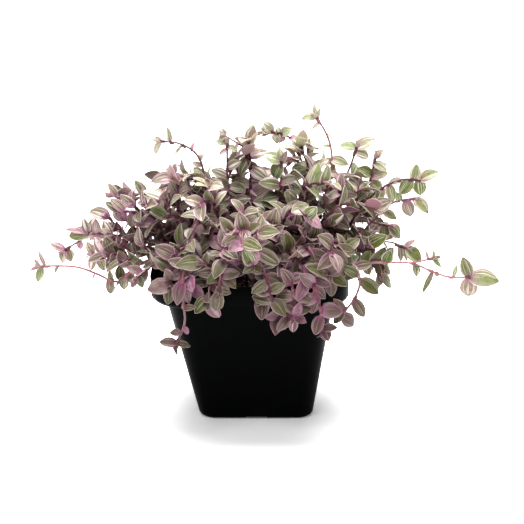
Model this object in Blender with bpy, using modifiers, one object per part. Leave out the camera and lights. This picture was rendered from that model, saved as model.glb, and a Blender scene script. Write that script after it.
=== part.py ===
"""Potted callisia: a square black nursery pot, the soil in it and the leafy stems that grow from it.

Units are metres and +Z is up. The origin is the middle of the pot's flat underside, and -Y is the front.
Each leafy stem is one solid: a thin stalk and its leaves, keeled blades with their roots sunk in it.
"""

import math
import random
from collections import namedtuple

import bmesh
import bpy
from mathutils import Vector
from mathutils.bvhtree import BVHTree

SEED = 11

# Pot: half widths, corner radii and heights of the outer surface
POT_HEIGHT = 0.0794
RIM_HALF = 0.0500
RIM_CORNER = 0.0190
RIM_LOW = 0.0696
SHOULDER_HALF = 0.0482
SHOULDER_HEIGHT = 0.0676
WALL_TOP_HALF = 0.0424
WALL_TOP_CORNER = 0.0117
WALL_TOP = 0.0668
FOOT_HALF = 0.0300
FOOT_CORNER = 0.0089
FOOT_FILLET = 0.0031
POT_WALL = 0.0012
POT_LEAN = -0.0035
CORNER_STEPS = 4
NOTCH_WIDTH = 0.0110
NOTCH_HEIGHT = 0.0011
NOTCH_REACH = 0.0060

# Soil
SOIL_GAP = 0.0004
SOIL_EDGE = 0.0650
SOIL_TOP = 0.0662
SOIL_CROWN_HALF = 0.0376
HOLE_DEPTH = 0.0070
ROOT_DEPTH = 0.0065

# Stalks: a collar is the straight piece that stands out of the soil
STALK_RADIUS = 0.00075
TWIG_SHARE = 0.8
TIP_RADIUS_SHARE = 0.7
HOLE_CLEARANCE = 0.0005
CURVE_STEPS = 12
ROUTE_STEP = 0.0105
COLLAR = 0.0012

# Leaves: the rings are (share of the length, share of the width), and the keel and the arch are shares too.
# A placed leaf leans to the front or the back, so it is a little longer than it looks from the front.
LEAF_LENGTH = 0.0110
LEAF_RIDGE = 0.0007
LEAF_SUNK = 0.0003
ROOT_SHARE = 0.22
PLACED_LEAF_SLIMNESS = 0.58
SEEN_TO_REAL = 1.08
PLACED_TURN = 9
PLACED_LEAN = (-0.35, 0.45)
RULE_LEAF_SLIMNESS = (0.54, 0.64)
KEEL = 0.16
ARCH = 0.07
BLADE_RINGS = ((0.28, 0.92), (0.68, 0.86))

# The rule that sets the stems which aren't placed one by one: their tips lie on a dome, whose left
# shoulder slopes more. The first stems of the rule, at the top, are left out for the placed crown.
RULE_STEMS = 32
CROWN_STEMS = 5
GOLDEN_ANGLE = math.pi * (3 - math.sqrt(5))
DOME_CENTRE = Vector((-0.001, 0.002, 0.082))
DOME_RADII = Vector((0.072, 0.064, 0.057))
SHOULDER_FROM = -0.016
SHOULDER_DROP = 0.28
DOME_REACH = math.radians(106)
TIP_SPREAD = 0.16
TIP_REACH = (0.84, 1.04)
ROOT_SPREAD = 0.033
ROOT_REACH = (0.82, 1.06)
OVER_SHARE = 0.42
OVER_RISE = 0.75
BOW_SHARE = 0.76
BOW_RISE = 0.6
LEAST_RISE = 0.021
SIDE_LIFT = 0.0065

# Where a stem's leaves grow by rule, and the gaps that stems keep to each other and to the pot
LEAFY_FROM = 0.38
LEAF_SPACING = 0.0095
TIP_SHARES = (0.97, 0.995)
TIP_OPENING = (25, 70)
SIDE_OPENING = (48, 80)
LEAF_TURN = math.radians(150)
LEAF_GAP = 0.0003
STALK_GAP = 0.0003
RIM_GAP = 0.0010
LEAF_TRIES = 14
ROUTE_TRIES = 60

Leaf = namedtuple("Leaf", "base along face length width")
Stem = namedtuple("Stem", "name stalks leaves")

# Stems that show one by one: their routes from the soil outwards in millimetres, and their leaves as
# (share of the route, angle in the front view, millimetres long as seen there, width against the usual).
# A twig is written (share, angle, length, leaves).
PLACED = {
    "far_left": {
        "route": (
            (-33, -16), (-44, -22, 84), (-57, -26, 85), (-66, -28, 77), (-72, -28, 75), (-82, -26, 79),
            (-92, -25, 82), (-100, -24, 82), (-107, -23, 82), (-110, -22, 81),
        ),
        "leaves": (
            (1.00, 119, 5, 0.6), (0.99, 256, 8.5, 0.8), (0.97, 108, 9, 0.4), (0.90, 240, 5, 0.6),
            (0.71, 245, 4, 0.5), (0.63, 272, 8, 0.9), (0.62, 98, 5, 1.0), (0.57, 92, 7, 1.2),
            (0.54, 262, 8, 1.0), (0.53, 325, 6, 1.2), (0.48, 60, 7, 0.8),
        ),
        "twigs": (),
    },
    "left_low": {
        "route": (
            (-36, -9), (-48, -14, 86), (-60, -17, 84), (-70, -15, 85), (-78, -13, 86), (-84, -11, 84),
        ),
        "leaves": (
            (1.00, 125, 7, 1.0), (0.98, 258, 9, 0.9), (0.94, 282, 9, 1.0), (0.91, 112, 9, 1.1),
            (0.85, 98, 9, 1.1), (0.82, 246, 9, 0.9), (0.79, 278, 5, 0.9), (0.75, 125, 8, 1.0),
            (0.71, 295, 5, 1.1), (0.62, 100, 8, 1.0),
        ),
        "twigs": (),
    },
    "left_mid": {
        "route": (
            (-34, -3), (-44, -5, 86), (-55, -6, 90), (-66, -4, 91), (-76, -2, 92), (-87, 0, 92),
        ),
        "leaves": (
            (1.00, 112, 8, 0.9), (0.98, 82, 9, 0.9), (0.99, 199, 11, 1.1), (1.00, 173, 12, 0.4),
            (0.93, 103, 8, 0.9), (0.92, 15, 6, 1.2), (0.88, 285, 9, 1.1), (0.78, 255, 8, 1.0),
            (0.74, 112, 6, 0.8), (0.70, 62, 6, 1.1), (0.62, 280, 8, 1.0),
        ),
        "twigs": (
            (0.98, 211, 16, ((1.0, 147, 8, 0.9), (1.0, 256, 7, 1), (0.93, 283, 7, 1.2), (0.45, 280, 5, 1.1))),
        ),
    },
    "left_pink": {
        "route": (
            (-27, -9), (-38, -8, 90), (-49, -10, 101), (-56, -12, 106), (-63, -11, 107), (-70, -10, 107),
        ),
        "leaves": (
            (1.00, 140, 8, 1.0), (0.96, 128, 9, 0.9), (0.98, 250, 5, 0.8), (0.90, 267, 8, 1.0),
            (0.76, 238, 9, 0.9), (0.72, 75, 6, 0.9), (0.62, 285, 8, 1.0), (0.56, 100, 8, 1.0),
        ),
        "twigs": (),
    },
    "left_shoulder": {
        "route": (
            (-30, 1), (-42, 2, 90), (-46, 1, 103), (-50, 0, 113), (-56, -2, 114), (-65, -3, 110),
            (-71, -1, 112), (-74, 0, 112),
        ),
        "leaves": (
            (1.00, 175, 4, 1.1), (0.97, 123, 8, 0.8), (0.93, 300, 5, 1.0), (0.88, 142, 6, 0.8),
            (0.87, 100, 5, 1.1), (0.85, 268, 6, 0.8), (0.78, 125, 9, 0.9), (0.76, 262, 6, 1.2),
            (0.60, 200, 8, 1.0),
        ),
        "twigs": (),
    },
    "left_rise": {
        "route": ((-24, -3), (-34, -3, 92), (-40, -3, 105), (-42, -1, 115), (-42, 1, 124)),
        "leaves": (
            (1.00, 88, 5, 1.1), (1.00, 148, 5, 1.2), (0.97, 179, 12, 0.9), (0.98, 345, 5, 1.1),
            (0.90, 192, 9, 1.1), (0.93, 325, 8, 1.2), (0.74, 20, 8, 1.0), (0.66, 205, 8, 1.1),
        ),
        "twigs": (),
    },
    "upper_left": {
        "route": (
            (-20, 0), (-23, 1, 96), (-27, 2, 124), (-32, 3, 136), (-37, 4, 138), (-44, 4, 140), (-49, 5, 140),
        ),
        "leaves": (
            (1.00, 135, 4, 0.9), (1.00, 239, 7.5, 0.8), (0.95, 92, 8.5, 0.6), (0.88, 236, 6.5, 0.4),
            (0.82, 84, 5, 0.6), (0.75, 60, 5, 0.9), (0.72, 160, 5, 1.0), (0.66, 250, 8, 1.0),
            (0.60, 20, 8, 1.0),
        ),
        "twigs": (),
    },
    "crown_left": {
        "route": ((-9, 1), (-10, 2, 98), (-14, 6, 113), (-15, 9, 122), (-15, 11, 130), (-15, 12, 137)),
        "leaves": (
            (1.00, 162, 6, 1.2), (1.00, 10, 6, 1.0), (0.98, 338, 6, 0.9), (0.96, 204, 5, 0.9),
            (0.78, 238, 8, 0.9), (0.70, 320, 7, 1.0), (0.60, 160, 8, 1.0), (0.52, 20, 9, 1.0),
        ),
        "twigs": (),
    },
    "crown_mid": {
        "route": ((-2, 3), (-3, 4, 98), (-3, 10, 112), (-3, 13, 122), (-3, 14, 128), (-4, 15, 134)),
        "leaves": (
            (1.00, 84, 10, 0.5), (1.00, 60, 9, 0.5), (0.96, 12, 6, 1.3), (0.93, 236, 10, 1.0),
            (0.90, 300, 7, 1.2), (0.66, 10, 9, 1.0), (0.58, 200, 9, 1.0),
        ),
        "twigs": ((0.98, 145, 15, ((1.0, 120, 4, 1.2), (1.0, 215, 4, 1.2), (0.5, 20, 4, 0.6))),),
    },
    "crown_back": {
        "route": (
            (14, 8), (20, 9, 98), (24, 12, 110), (25, 16, 119), (23, 19, 127), (21, 20, 133), (17, 21, 138),
            (12, 22, 140), (7, 22, 141),
        ),
        "leaves": (
            (1.00, 160, 5, 1.6), (0.99, 205, 6, 0.6), (0.94, 268, 5, 1.8), (0.95, 85, 4, 1.4),
            (0.88, 8, 5, 1.2), (0.79, 112, 8, 0.8), (0.77, 68, 6, 0.8), (0.72, 20, 4, 1.0),
            (0.66, 200, 8, 1.0), (0.58, 340, 9, 1.0),
        ),
        "twigs": (),
    },
    "crown_sage": {
        "route": ((8, -1), (10, 0, 100), (12, 3, 114), (13, 5, 122), (13, 6, 129)),
        "leaves": (
            (1.00, 157, 9, 1.2), (0.98, 253, 9, 1.4), (1.00, 95, 7, 0.9), (0.99, 68, 7, 0.8),
            (0.99, 3, 6, 1.0), (0.74, 190, 9, 1.1), (0.64, 350, 9, 1.1),
        ),
        "twigs": (),
    },
    "crown_right": {
        "route": (
            (19, -2), (24, 1, 99), (26, 4, 113), (26, 6, 121), (27, 7, 127), (28, 7, 130), (27, 7, 132),
        ),
        "leaves": (
            (1.00, 92, 5, 0.8), (1.00, 66, 6, 0.8), (0.92, 180, 8, 0.9), (0.90, 204, 7, 1.2),
            (0.92, 6, 8, 1.1), (0.89, 325, 6, 1.0), (0.72, 160, 8, 1.0), (0.66, 330, 9, 1.0),
        ),
        "twigs": (),
    },
    "top_right": {
        "route": (
            (20, 6), (31, 5, 94), (38, 4, 122), (39, 6, 131), (38, 8, 137), (36, 9, 143), (31, 10, 151),
        ),
        "leaves": (
            (1.00, 190, 8, 0.9), (1.00, 97, 7, 0.6), (0.99, 76, 6.5, 0.5), (0.97, 219, 5.5, 0.6),
            (0.89, 15, 4, 0.8), (0.83, 178, 4, 0.8), (0.76, 340, 9, 1.0), (0.76, 205, 5, 1.1),
            (0.69, 335, 5, 1.2),
        ),
        "twigs": (),
    },
    "right_top": {
        "route": ((28, 0), (36, 1, 90), (42, 3, 112), (46, 5, 120), (50, 9, 129), (52, 11, 135)),
        "leaves": (
            (1.00, 173, 8.5, 1.0), (1.00, 19, 10.5, 1.0), (0.97, 335, 8, 1.2), (0.80, 168, 4, 0.8),
            (0.77, 286, 10, 1.2), (0.70, 200, 8, 1.0), (0.64, 340, 8, 1.0),
        ),
        "twigs": (),
    },
    "right_back": {
        "route": ((33, 10), (44, 11, 98), (56, 13, 103), (59, 14, 108), (60, 16, 117), (62, 16, 128)),
        "leaves": (
            (1.00, 40, 6, 1.1), (0.97, 338, 7.5, 1.1), (0.92, 22, 7.5, 1.0), (0.88, 148, 8.5, 1.2),
            (0.87, 3, 9, 1.1), (0.84, 318, 9, 1.1), (0.80, 284, 10, 1.0), (0.79, 222, 8, 1.0),
        ),
        "twigs": (),
    },
    "right_pink": {
        "route": ((27, -8), (35, -10, 88), (40, -9, 102), (42, -8, 112), (43, -8, 118)),
        "leaves": (
            (1.00, 82, 8, 1.0), (1.00, 285, 10, 1.2), (0.97, 205, 7, 1.0), (0.93, 10, 9, 1.0),
            (0.90, 250, 9, 1.1), (0.80, 150, 9, 1.0), (0.74, 335, 9, 1.1), (0.68, 235, 9, 1.0),
        ),
        "twigs": (),
    },
    "right_upper": {
        "route": ((35, 2), (50, 3, 98), (63, 3, 114), (74, 4, 119), (80, 5, 121), (85, 5, 119)),
        "leaves": (
            (1.00, 25, 10, 1.1), (0.99, 272, 8, 1.4), (0.96, 80, 8.5, 1.1), (0.95, 222, 10, 1.1),
            (0.88, 202, 6.5, 1.0), (0.81, 84, 8, 0.8), (0.80, 279, 9, 1.0), (0.76, 256, 8.5, 1.0),
            (0.66, 300, 8, 1.0),
        ),
        "twigs": (),
    },
    "right_arch": {
        "route": (
            (36, -12), (42, -15, 84), (52, -17, 93), (56, -14, 99), (61, -12, 104), (69, -10, 111),
            (74, -9, 112), (81, -8, 113),
        ),
        "leaves": (
            (1.00, 316, 10, 1.0), (0.99, 294, 7, 0.6), (0.94, 283, 9.5, 1.1), (0.90, 105, 6, 1.0),
            (0.76, 326, 8.5, 0.9), (0.70, 316, 7, 0.9), (0.58, 300, 8, 1.2),
        ),
        "twigs": ((0.66, 352, 9, ((1.0, 308, 10, 1.1), (0.72, 272, 8, 1.2))),),
    },
    "right_mid": {
        "route": (
            (35, -20), (43, -22, 85), (52, -22, 89), (60, -23, 93), (64, -24, 95), (70, -25, 94),
            (76, -25, 92),
        ),
        "leaves": (
            (1.00, 317, 10, 1.1), (0.98, 32, 6.5, 0.7), (0.94, 277, 8, 0.7), (0.98, 290, 7, 0.5),
            (0.72, 240, 8, 1.0), (0.66, 60, 6, 1.0), (0.58, 130, 8, 1.0),
        ),
        "twigs": (),
    },
    "far_right": {
        "route": (
            (34, -26), (45, -30, 84), (53, -33, 87), (61, -34, 87), (72, -34, 87), (80, -33, 86),
            (88, -32, 82), (96, -31, 79), (104, -30, 76), (108, -30, 78),
        ),
        "leaves": (
            (1.00, 113, 10.5, 1.0), (1.00, 4, 14, 1.1), (1.00, 266, 11, 1.3), (0.91, 70, 7, 0.5),
            (0.79, 248, 11.5, 0.4), (0.80, 305, 4, 1.0), (0.68, 283, 6, 1.1), (0.52, 66, 7, 1.3),
            (0.42, 284, 7, 1.1), (0.40, 60, 8, 1.0),
        ),
        "twigs": ((0.66, 17, 11, ((1.0, 95, 5, 0.6), (0.78, 100, 5, 0.5), (1.0, 308, 6, 0.6))),),
    },
    "right_hang": {
        "route": (
            (36, -32), (45, -42, 88), (50, -48, 88), (51, -54, 84), (49, -58, 78), (45, -60, 72),
            (42, -60, 69),
        ),
        "leaves": (
            (1.00, 308, 10, 1.1), (0.99, 150, 10, 0.9), (0.97, 125, 8, 0.9), (0.98, 235, 7, 1.0),
            (0.86, 307, 10, 0.9), (0.70, 319, 11.5, 1.0), (0.66, 148, 9, 0.9), (0.62, 215, 7, 1.1),
            (0.58, 10, 9, 0.9),
        ),
        "twigs": (),
    },
    "front_right": {
        "route": ((30, -27), (33, -38, 86), (35, -47, 91), (36, -53, 87)),
        "leaves": (
            (1.00, 147, 13, 0.8), (1.00, 338, 10, 1.0), (0.99, 35, 9, 1.2), (0.98, 284, 12, 0.8),
            (0.86, 150, 12, 1.1), (0.82, 10, 9, 1.0),
        ),
        "twigs": (),
    },
    "front_corner": {
        "route": ((25, -34), (27, -45, 88), (28, -56, 86), (29, -61, 80), (32, -63, 71), (33, -63, 62)),
        "leaves": (
            (1.00, 293, 6, 1.5), (0.99, 3, 7, 1.0), (0.90, 250, 9, 1.1), (0.86, 5, 10, 1.2),
            (0.76, 200, 9, 1.1), (0.72, 269, 12, 0.9), (0.68, 305, 9, 0.9), (0.66, 140, 9, 1.1),
        ),
        "twigs": (),
    },
    "front_right_low": {
        "route": ((12, -34), (15, -47, 89), (17, -57, 86), (19, -62, 77), (19, -64, 69)),
        "leaves": (
            (1.00, 268, 9, 0.8), (0.99, 77, 8, 0.9), (0.97, 140, 7, 0.9), (0.96, 5, 8, 1.0),
            (0.84, 190, 9, 1.1), (0.80, 335, 10, 1.1), (0.74, 130, 9, 1.0), (0.70, 20, 10, 1.1),
        ),
        "twigs": (),
    },
    "front_mid": {
        "route": ((0, -34), (2, -48, 90), (5, -58, 87), (7, -62, 82), (8, -63, 77)),
        "leaves": (
            (1.00, 180, 10, 1.1), (0.99, 312, 10, 1.1), (0.93, 162, 9, 1.1), (0.92, 20, 8, 1.1),
            (0.84, 215, 9, 1.0), (0.78, 330, 10, 1.1), (0.72, 150, 10, 1.0), (0.66, 20, 10, 1.1),
        ),
        "twigs": (),
    },
    "front_hang": {
        "route": ((-15, -34), (-16, -46, 87), (-17, -57, 89), (-18, -62, 85), (-18, -62, 81)),
        "leaves": (
            (1.00, 264, 11, 1.0), (0.99, 352, 6, 1.0), (0.93, 275, 7, 0.9), (0.84, 15, 9, 1.0),
            (0.78, 320, 10, 1.0), (0.74, 205, 9, 1.0),
        ),
        "twigs": (),
    },
    "front_left": {
        "route": ((-24, -28), (-22, -40, 84), (-23, -49, 92), (-26, -53, 93)),
        "leaves": (
            (1.00, 182, 13, 1.0), (1.00, 322, 13, 0.9), (0.98, 278, 10, 0.8), (0.94, 90, 6, 1.0),
            (0.90, 296, 11, 0.9), (0.82, 25, 9, 1.0),
        ),
        "twigs": (),
    },
    "left_hang": {
        "route": (
            (-30, -33), (-33, -46, 89), (-35, -57, 90), (-36, -61, 82), (-35, -62, 72), (-35, -62, 64),
            (-37, -63, 59), (-39, -63, 55),
        ),
        "leaves": (
            (1.00, 184, 8, 1.0), (1.00, 340, 7, 0.8), (1.00, 262, 4, 1.2), (0.93, 190, 5.5, 1.1),
            (0.89, 302, 5, 0.9), (0.77, 5, 6, 0.9), (0.62, 285, 10, 0.9), (0.60, 262, 12, 0.9),
            (0.55, 277, 11, 0.9), (0.48, 170, 9, 1.0),
        ),
        "twigs": (),
    },
    "left_corner": {
        "route": ((-36, -28), (-40, -40, 86), (-42, -50, 88), (-41, -55, 85), (-42, -56, 83)),
        "leaves": (
            (1.00, 181, 11, 1.2), (0.99, 266, 10, 1.0), (0.96, 110, 8, 1.0), (0.90, 20, 8, 1.0),
            (0.80, 150, 10, 1.1), (0.72, 60, 9, 1.0),
        ),
        "twigs": (),
    },
    "left_front": {
        "route": ((-38, -22), (-47, -32, 86), (-54, -40, 86), (-57, -43, 85), (-59, -45, 83)),
        "leaves": (
            (1.00, 240, 6, 1.0), (0.97, 292, 7, 0.9), (0.92, 150, 8, 1.0), (0.86, 258, 8, 0.9),
            (0.76, 25, 8, 1.0), (0.70, 105, 8, 1.0),
        ),
        "twigs": (),
    },
}


def clear_scene():
    for obj in list(bpy.data.objects):
        bpy.data.objects.remove(obj, do_unlink=True)


def new_collection(name, hidden=False):
    collection = bpy.data.collections.new(name)
    bpy.context.scene.collection.children.link(collection)
    collection.hide_render = hidden
    return collection


def new_object(name, mesh, collection):
    obj = bpy.data.objects.new(name, mesh)
    collection.objects.link(obj)
    return obj


def principled(name, colour, roughness):
    material = bpy.data.materials.new(name)
    material.use_nodes = True
    shader = material.node_tree.nodes["Principled BSDF"]
    shader.inputs["Base Color"].default_value = (*colour, 1)
    shader.inputs["Roughness"].default_value = roughness
    shader.inputs["Metallic"].default_value = 0
    material.diffuse_color = (*colour, 1)
    return material


def mesh_from(bm, name):
    mesh = bpy.data.meshes.new(name)
    bm.to_mesh(mesh)
    bm.free()
    return mesh


def mix(low, high, share):
    return low + (high - low) * share


def lean_at(height):
    """How far the thin pot's axis has moved to the side at this height."""
    return POT_LEAN * height / POT_HEIGHT


def wall_section(height):
    """Half width and corner radius of the outer wall at this height."""
    share = (height - FOOT_FILLET) / (WALL_TOP - FOOT_FILLET)
    return mix(FOOT_HALF, WALL_TOP_HALF, share), mix(FOOT_CORNER, WALL_TOP_CORNER, share)


def rounded_square(half, corner, height):
    """The points of a square with round corners, at one height of the leaning pot."""
    points = []
    for quarter in range(4):
        start = math.pi / 2 * quarter
        middle = Vector((half - corner, 0, 0)), Vector((0, half - corner, 0))
        across = middle[0] * (1 if quarter in (0, 3) else -1) + middle[1] * (1 if quarter < 2 else -1)
        for step in range(CORNER_STEPS + 1):
            angle = start + math.pi / 2 * step / CORNER_STEPS
            points.append(across + Vector((math.cos(angle), math.sin(angle), 0)) * corner)
    return [point + Vector((lean_at(height), 0, height)) for point in points]


def loft(sections, closed_top):
    """A surface through rounded squares, closed below and, if asked, above."""
    bm = bmesh.new()
    rings = [[bm.verts.new(point) for point in rounded_square(*section)] for section in sections]
    for low, high in zip(rings, rings[1:]):
        for k in range(len(low)):
            bm.faces.new((low[k - 1], low[k], high[k], high[k - 1]))
    bm.faces.new(rings[0][::-1])
    if closed_top:
        bm.faces.new(rings[-1])
    bmesh.ops.recalc_face_normals(bm, faces=bm.faces)
    return bm


def make_pot(collection, cutters):
    """The thin moulded pot: a tapered wall, a stepped rim band and a drain notch in each side's foot."""
    half_fillet = FOOT_FILLET * (1 - math.sqrt(0.5))
    sections = (
        (FOOT_HALF - FOOT_FILLET, FOOT_CORNER - FOOT_FILLET, 0),
        (FOOT_HALF - half_fillet, FOOT_CORNER - half_fillet, half_fillet),
        (FOOT_HALF, FOOT_CORNER, FOOT_FILLET),
        (WALL_TOP_HALF, WALL_TOP_CORNER, WALL_TOP),
        (SHOULDER_HALF, RIM_CORNER - RIM_HALF + SHOULDER_HALF, SHOULDER_HEIGHT),
        (RIM_HALF, RIM_CORNER, RIM_LOW),
        (RIM_HALF, RIM_CORNER, POT_HEIGHT),
    )
    pot = new_object("pot", mesh_from(loft(sections, closed_top=False), "pot"), collection)
    pot.data.materials.append(principled("pot_plastic", (0.008, 0.009, 0.009), 0.35))
    shell = pot.modifiers.new("Shell", "SOLIDIFY")
    shell.thickness = POT_WALL
    shell.offset = -1
    shell.use_even_offset = True
    for side in range(4):
        bpy.ops.mesh.primitive_cube_add(size=1)
        notch = bpy.context.object
        notch.name = f"notch_{side + 1}"
        notch.scale = (NOTCH_WIDTH, NOTCH_REACH * 2, NOTCH_HEIGHT * 2)
        turn = math.pi / 2 * side
        notch.rotation_euler.z = turn
        notch.location = (math.sin(turn) * FOOT_HALF, -math.cos(turn) * FOOT_HALF, 0)
        notch.display_type = "WIRE"
        notch.hide_render = True
        bpy.context.collection.objects.unlink(notch)
        cutters.objects.link(notch)
    drain = pot.modifiers.new("Drain notches", "BOOLEAN")
    drain.operation = "DIFFERENCE"
    drain.operand_type = "COLLECTION"
    drain.collection = cutters
    pot.data.shade_smooth()
    pot.data.set_sharp_from_angle(angle=math.radians(40))
    return pot


def make_soil(collection, cutters, stems):
    """The soil fills the pot to below the rim band, a little crowned, with a plain hole for each stem."""
    inset = POT_WALL + SOIL_GAP
    foot_half, foot_corner = wall_section(FOOT_FILLET + POT_WALL)
    edge_half, edge_corner = wall_section(SOIL_EDGE)
    sections = (
        (FOOT_HALF - FOOT_FILLET - SOIL_GAP, FOOT_CORNER - FOOT_FILLET, inset),
        (foot_half - inset, foot_corner - inset, FOOT_FILLET + POT_WALL),
        (edge_half - inset, edge_corner - inset, SOIL_EDGE),
        (SOIL_CROWN_HALF, edge_corner - inset, SOIL_TOP),
    )
    soil = new_object("soil", mesh_from(loft(sections, closed_top=True), "soil"), collection)
    soil.data.materials.append(principled("potting_soil", (0.035, 0.022, 0.014), 0.95))
    for stem in stems:
        bpy.ops.mesh.primitive_cylinder_add(
            vertices=4, radius=STALK_RADIUS + HOLE_CLEARANCE, depth=HOLE_DEPTH * 2, location=root_of(stem)
        )
        hole = bpy.context.object
        hole.name = "hole_" + stem.name
        hole.display_type = "WIRE"
        hole.hide_render = True
        bpy.context.collection.objects.unlink(hole)
        cutters.objects.link(hole)
    holes = soil.modifiers.new("Stem holes", "BOOLEAN")
    holes.operation = "DIFFERENCE"
    holes.operand_type = "COLLECTION"
    holes.collection = cutters
    soil.data.set_sharp_from_angle(angle=math.radians(30))
    return soil


def root_of(stem):
    root = stem.stalks[0][0]
    return Vector((root.x, root.y, SOIL_TOP))


class Route:
    """A stalk's line: a smooth curve through a few points, read as a chain of straight steps."""

    def __init__(self, corners, root=None):
        before = root or corners[0] * 2 - corners[1]
        ends = [before, *corners, corners[-1] * 2 - corners[-2]]
        fine = []
        for a, b, c, d in zip(ends, ends[1:], ends[2:], ends[3:]):
            for step in range(CURVE_STEPS):
                s = step / CURVE_STEPS
                bend = (a * 2 - b * 5 + c * 4 - d) * s**2
                twist = (b * 3 - a - c * 3 + d) * s**3
                fine.append((b * 2 + (c - a) * s + bend + twist) / 2)
        fine.append(corners[-1])
        self.points = fine
        count = max(2, round(self.length() / ROUTE_STEP))
        self.points = [self.at(k / count)[0] for k in range(count + 1)]
        if root:
            self.points.insert(0, root)

    def length(self):
        return sum((b - a).length for a, b in zip(self.points, self.points[1:]))

    def at(self, share):
        """The point at this share of the length, and the direction there."""
        reach = min(max(share, 0), 1) * self.length()
        for a, b in zip(self.points, self.points[1:]):
            step = (b - a).length
            if reach <= step or b is self.points[-1]:
                break
            reach -= step
        return a.lerp(b, min(reach / step, 1)), (b - a).normalized()


def square_to(direction, wish):
    """The part of a wished direction that is square to another one."""
    part = wish - direction * wish.dot(direction)
    return part.normalized() if part.length > 1e-6 else direction.orthogonal().normalized()


def stalk_tree(points):
    """What tests a stalk against others: a four-sided sleeve round it, wide enough to hold it with a gap."""
    sleeve = (STALK_RADIUS + STALK_GAP) * math.sqrt(2)
    verts = []
    for k, point in enumerate(points):
        along = (points[min(k + 1, len(points) - 1)] - points[max(k - 1, 0)]).normalized()
        side = square_to(along, Vector((0.3, 1, 0.2)))
        other = along.cross(side)
        verts += [point + reach * sleeve for reach in (side, other, -side, -other)]
    faces = []
    for k in range(len(points) - 1):
        for side in range(4):
            turn = (side + 1) % 4
            faces.append((k * 4 + side, k * 4 + turn, k * 4 + 4 + turn, k * 4 + 4 + side))
    return BVHTree.FromPolygons(verts, faces)


def blade_points(leaf, grow=0.0):
    """A keeled blade as eight points: its root, left, right and ridge below on two rings, and its tip."""
    across = leaf.along.cross(leaf.face)
    points = [leaf.base - leaf.along * LEAF_SUNK]
    for share, width in BLADE_RINGS:
        half = leaf.width * width / 2
        middle = leaf.base + leaf.along * leaf.length * share + leaf.face * leaf.length * ARCH
        edge_lift = leaf.face * (half * KEEL + grow)
        points += [
            middle - across * (half + grow) + edge_lift,
            middle + across * (half + grow) + edge_lift,
            middle + leaf.face * (half * KEEL - LEAF_RIDGE - grow),
        ]
    points.append(leaf.base + leaf.along * (leaf.length + grow))
    return points


def blade_tree(leaf, grow=0.0):
    """What tests a leaf against others: the triangles of its blade, which may be a little larger."""
    faces = []
    for side in range(3):
        a, b, c, d = 1 + side, 1 + (side + 1) % 3, 4 + (side + 1) % 3, 4 + side
        faces += [(0, b, a), (a, b, c), (a, c, d), (7, d, c)]
    return BVHTree.FromPolygons(blade_points(leaf, grow), faces)


def clears_pot(points, room=RIM_GAP):
    """Whether a chain of points stays off the pot and the soil, sampled between them as well."""
    for a, b in zip(points, points[1:]):
        for step in range(5):
            point = a.lerp(b, step / 4)
            out = max(abs(point.x - lean_at(POT_HEIGHT)), abs(point.y))
            over_rim = point.z > POT_HEIGHT + room
            outside = out > RIM_HALF + room
            in_mouth = out < WALL_TOP_HALF - POT_WALL - room and point.z > SOIL_TOP + COLLAR * 0.8
            if not (over_rim or outside or in_mouth):
                return False
    return True


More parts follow.
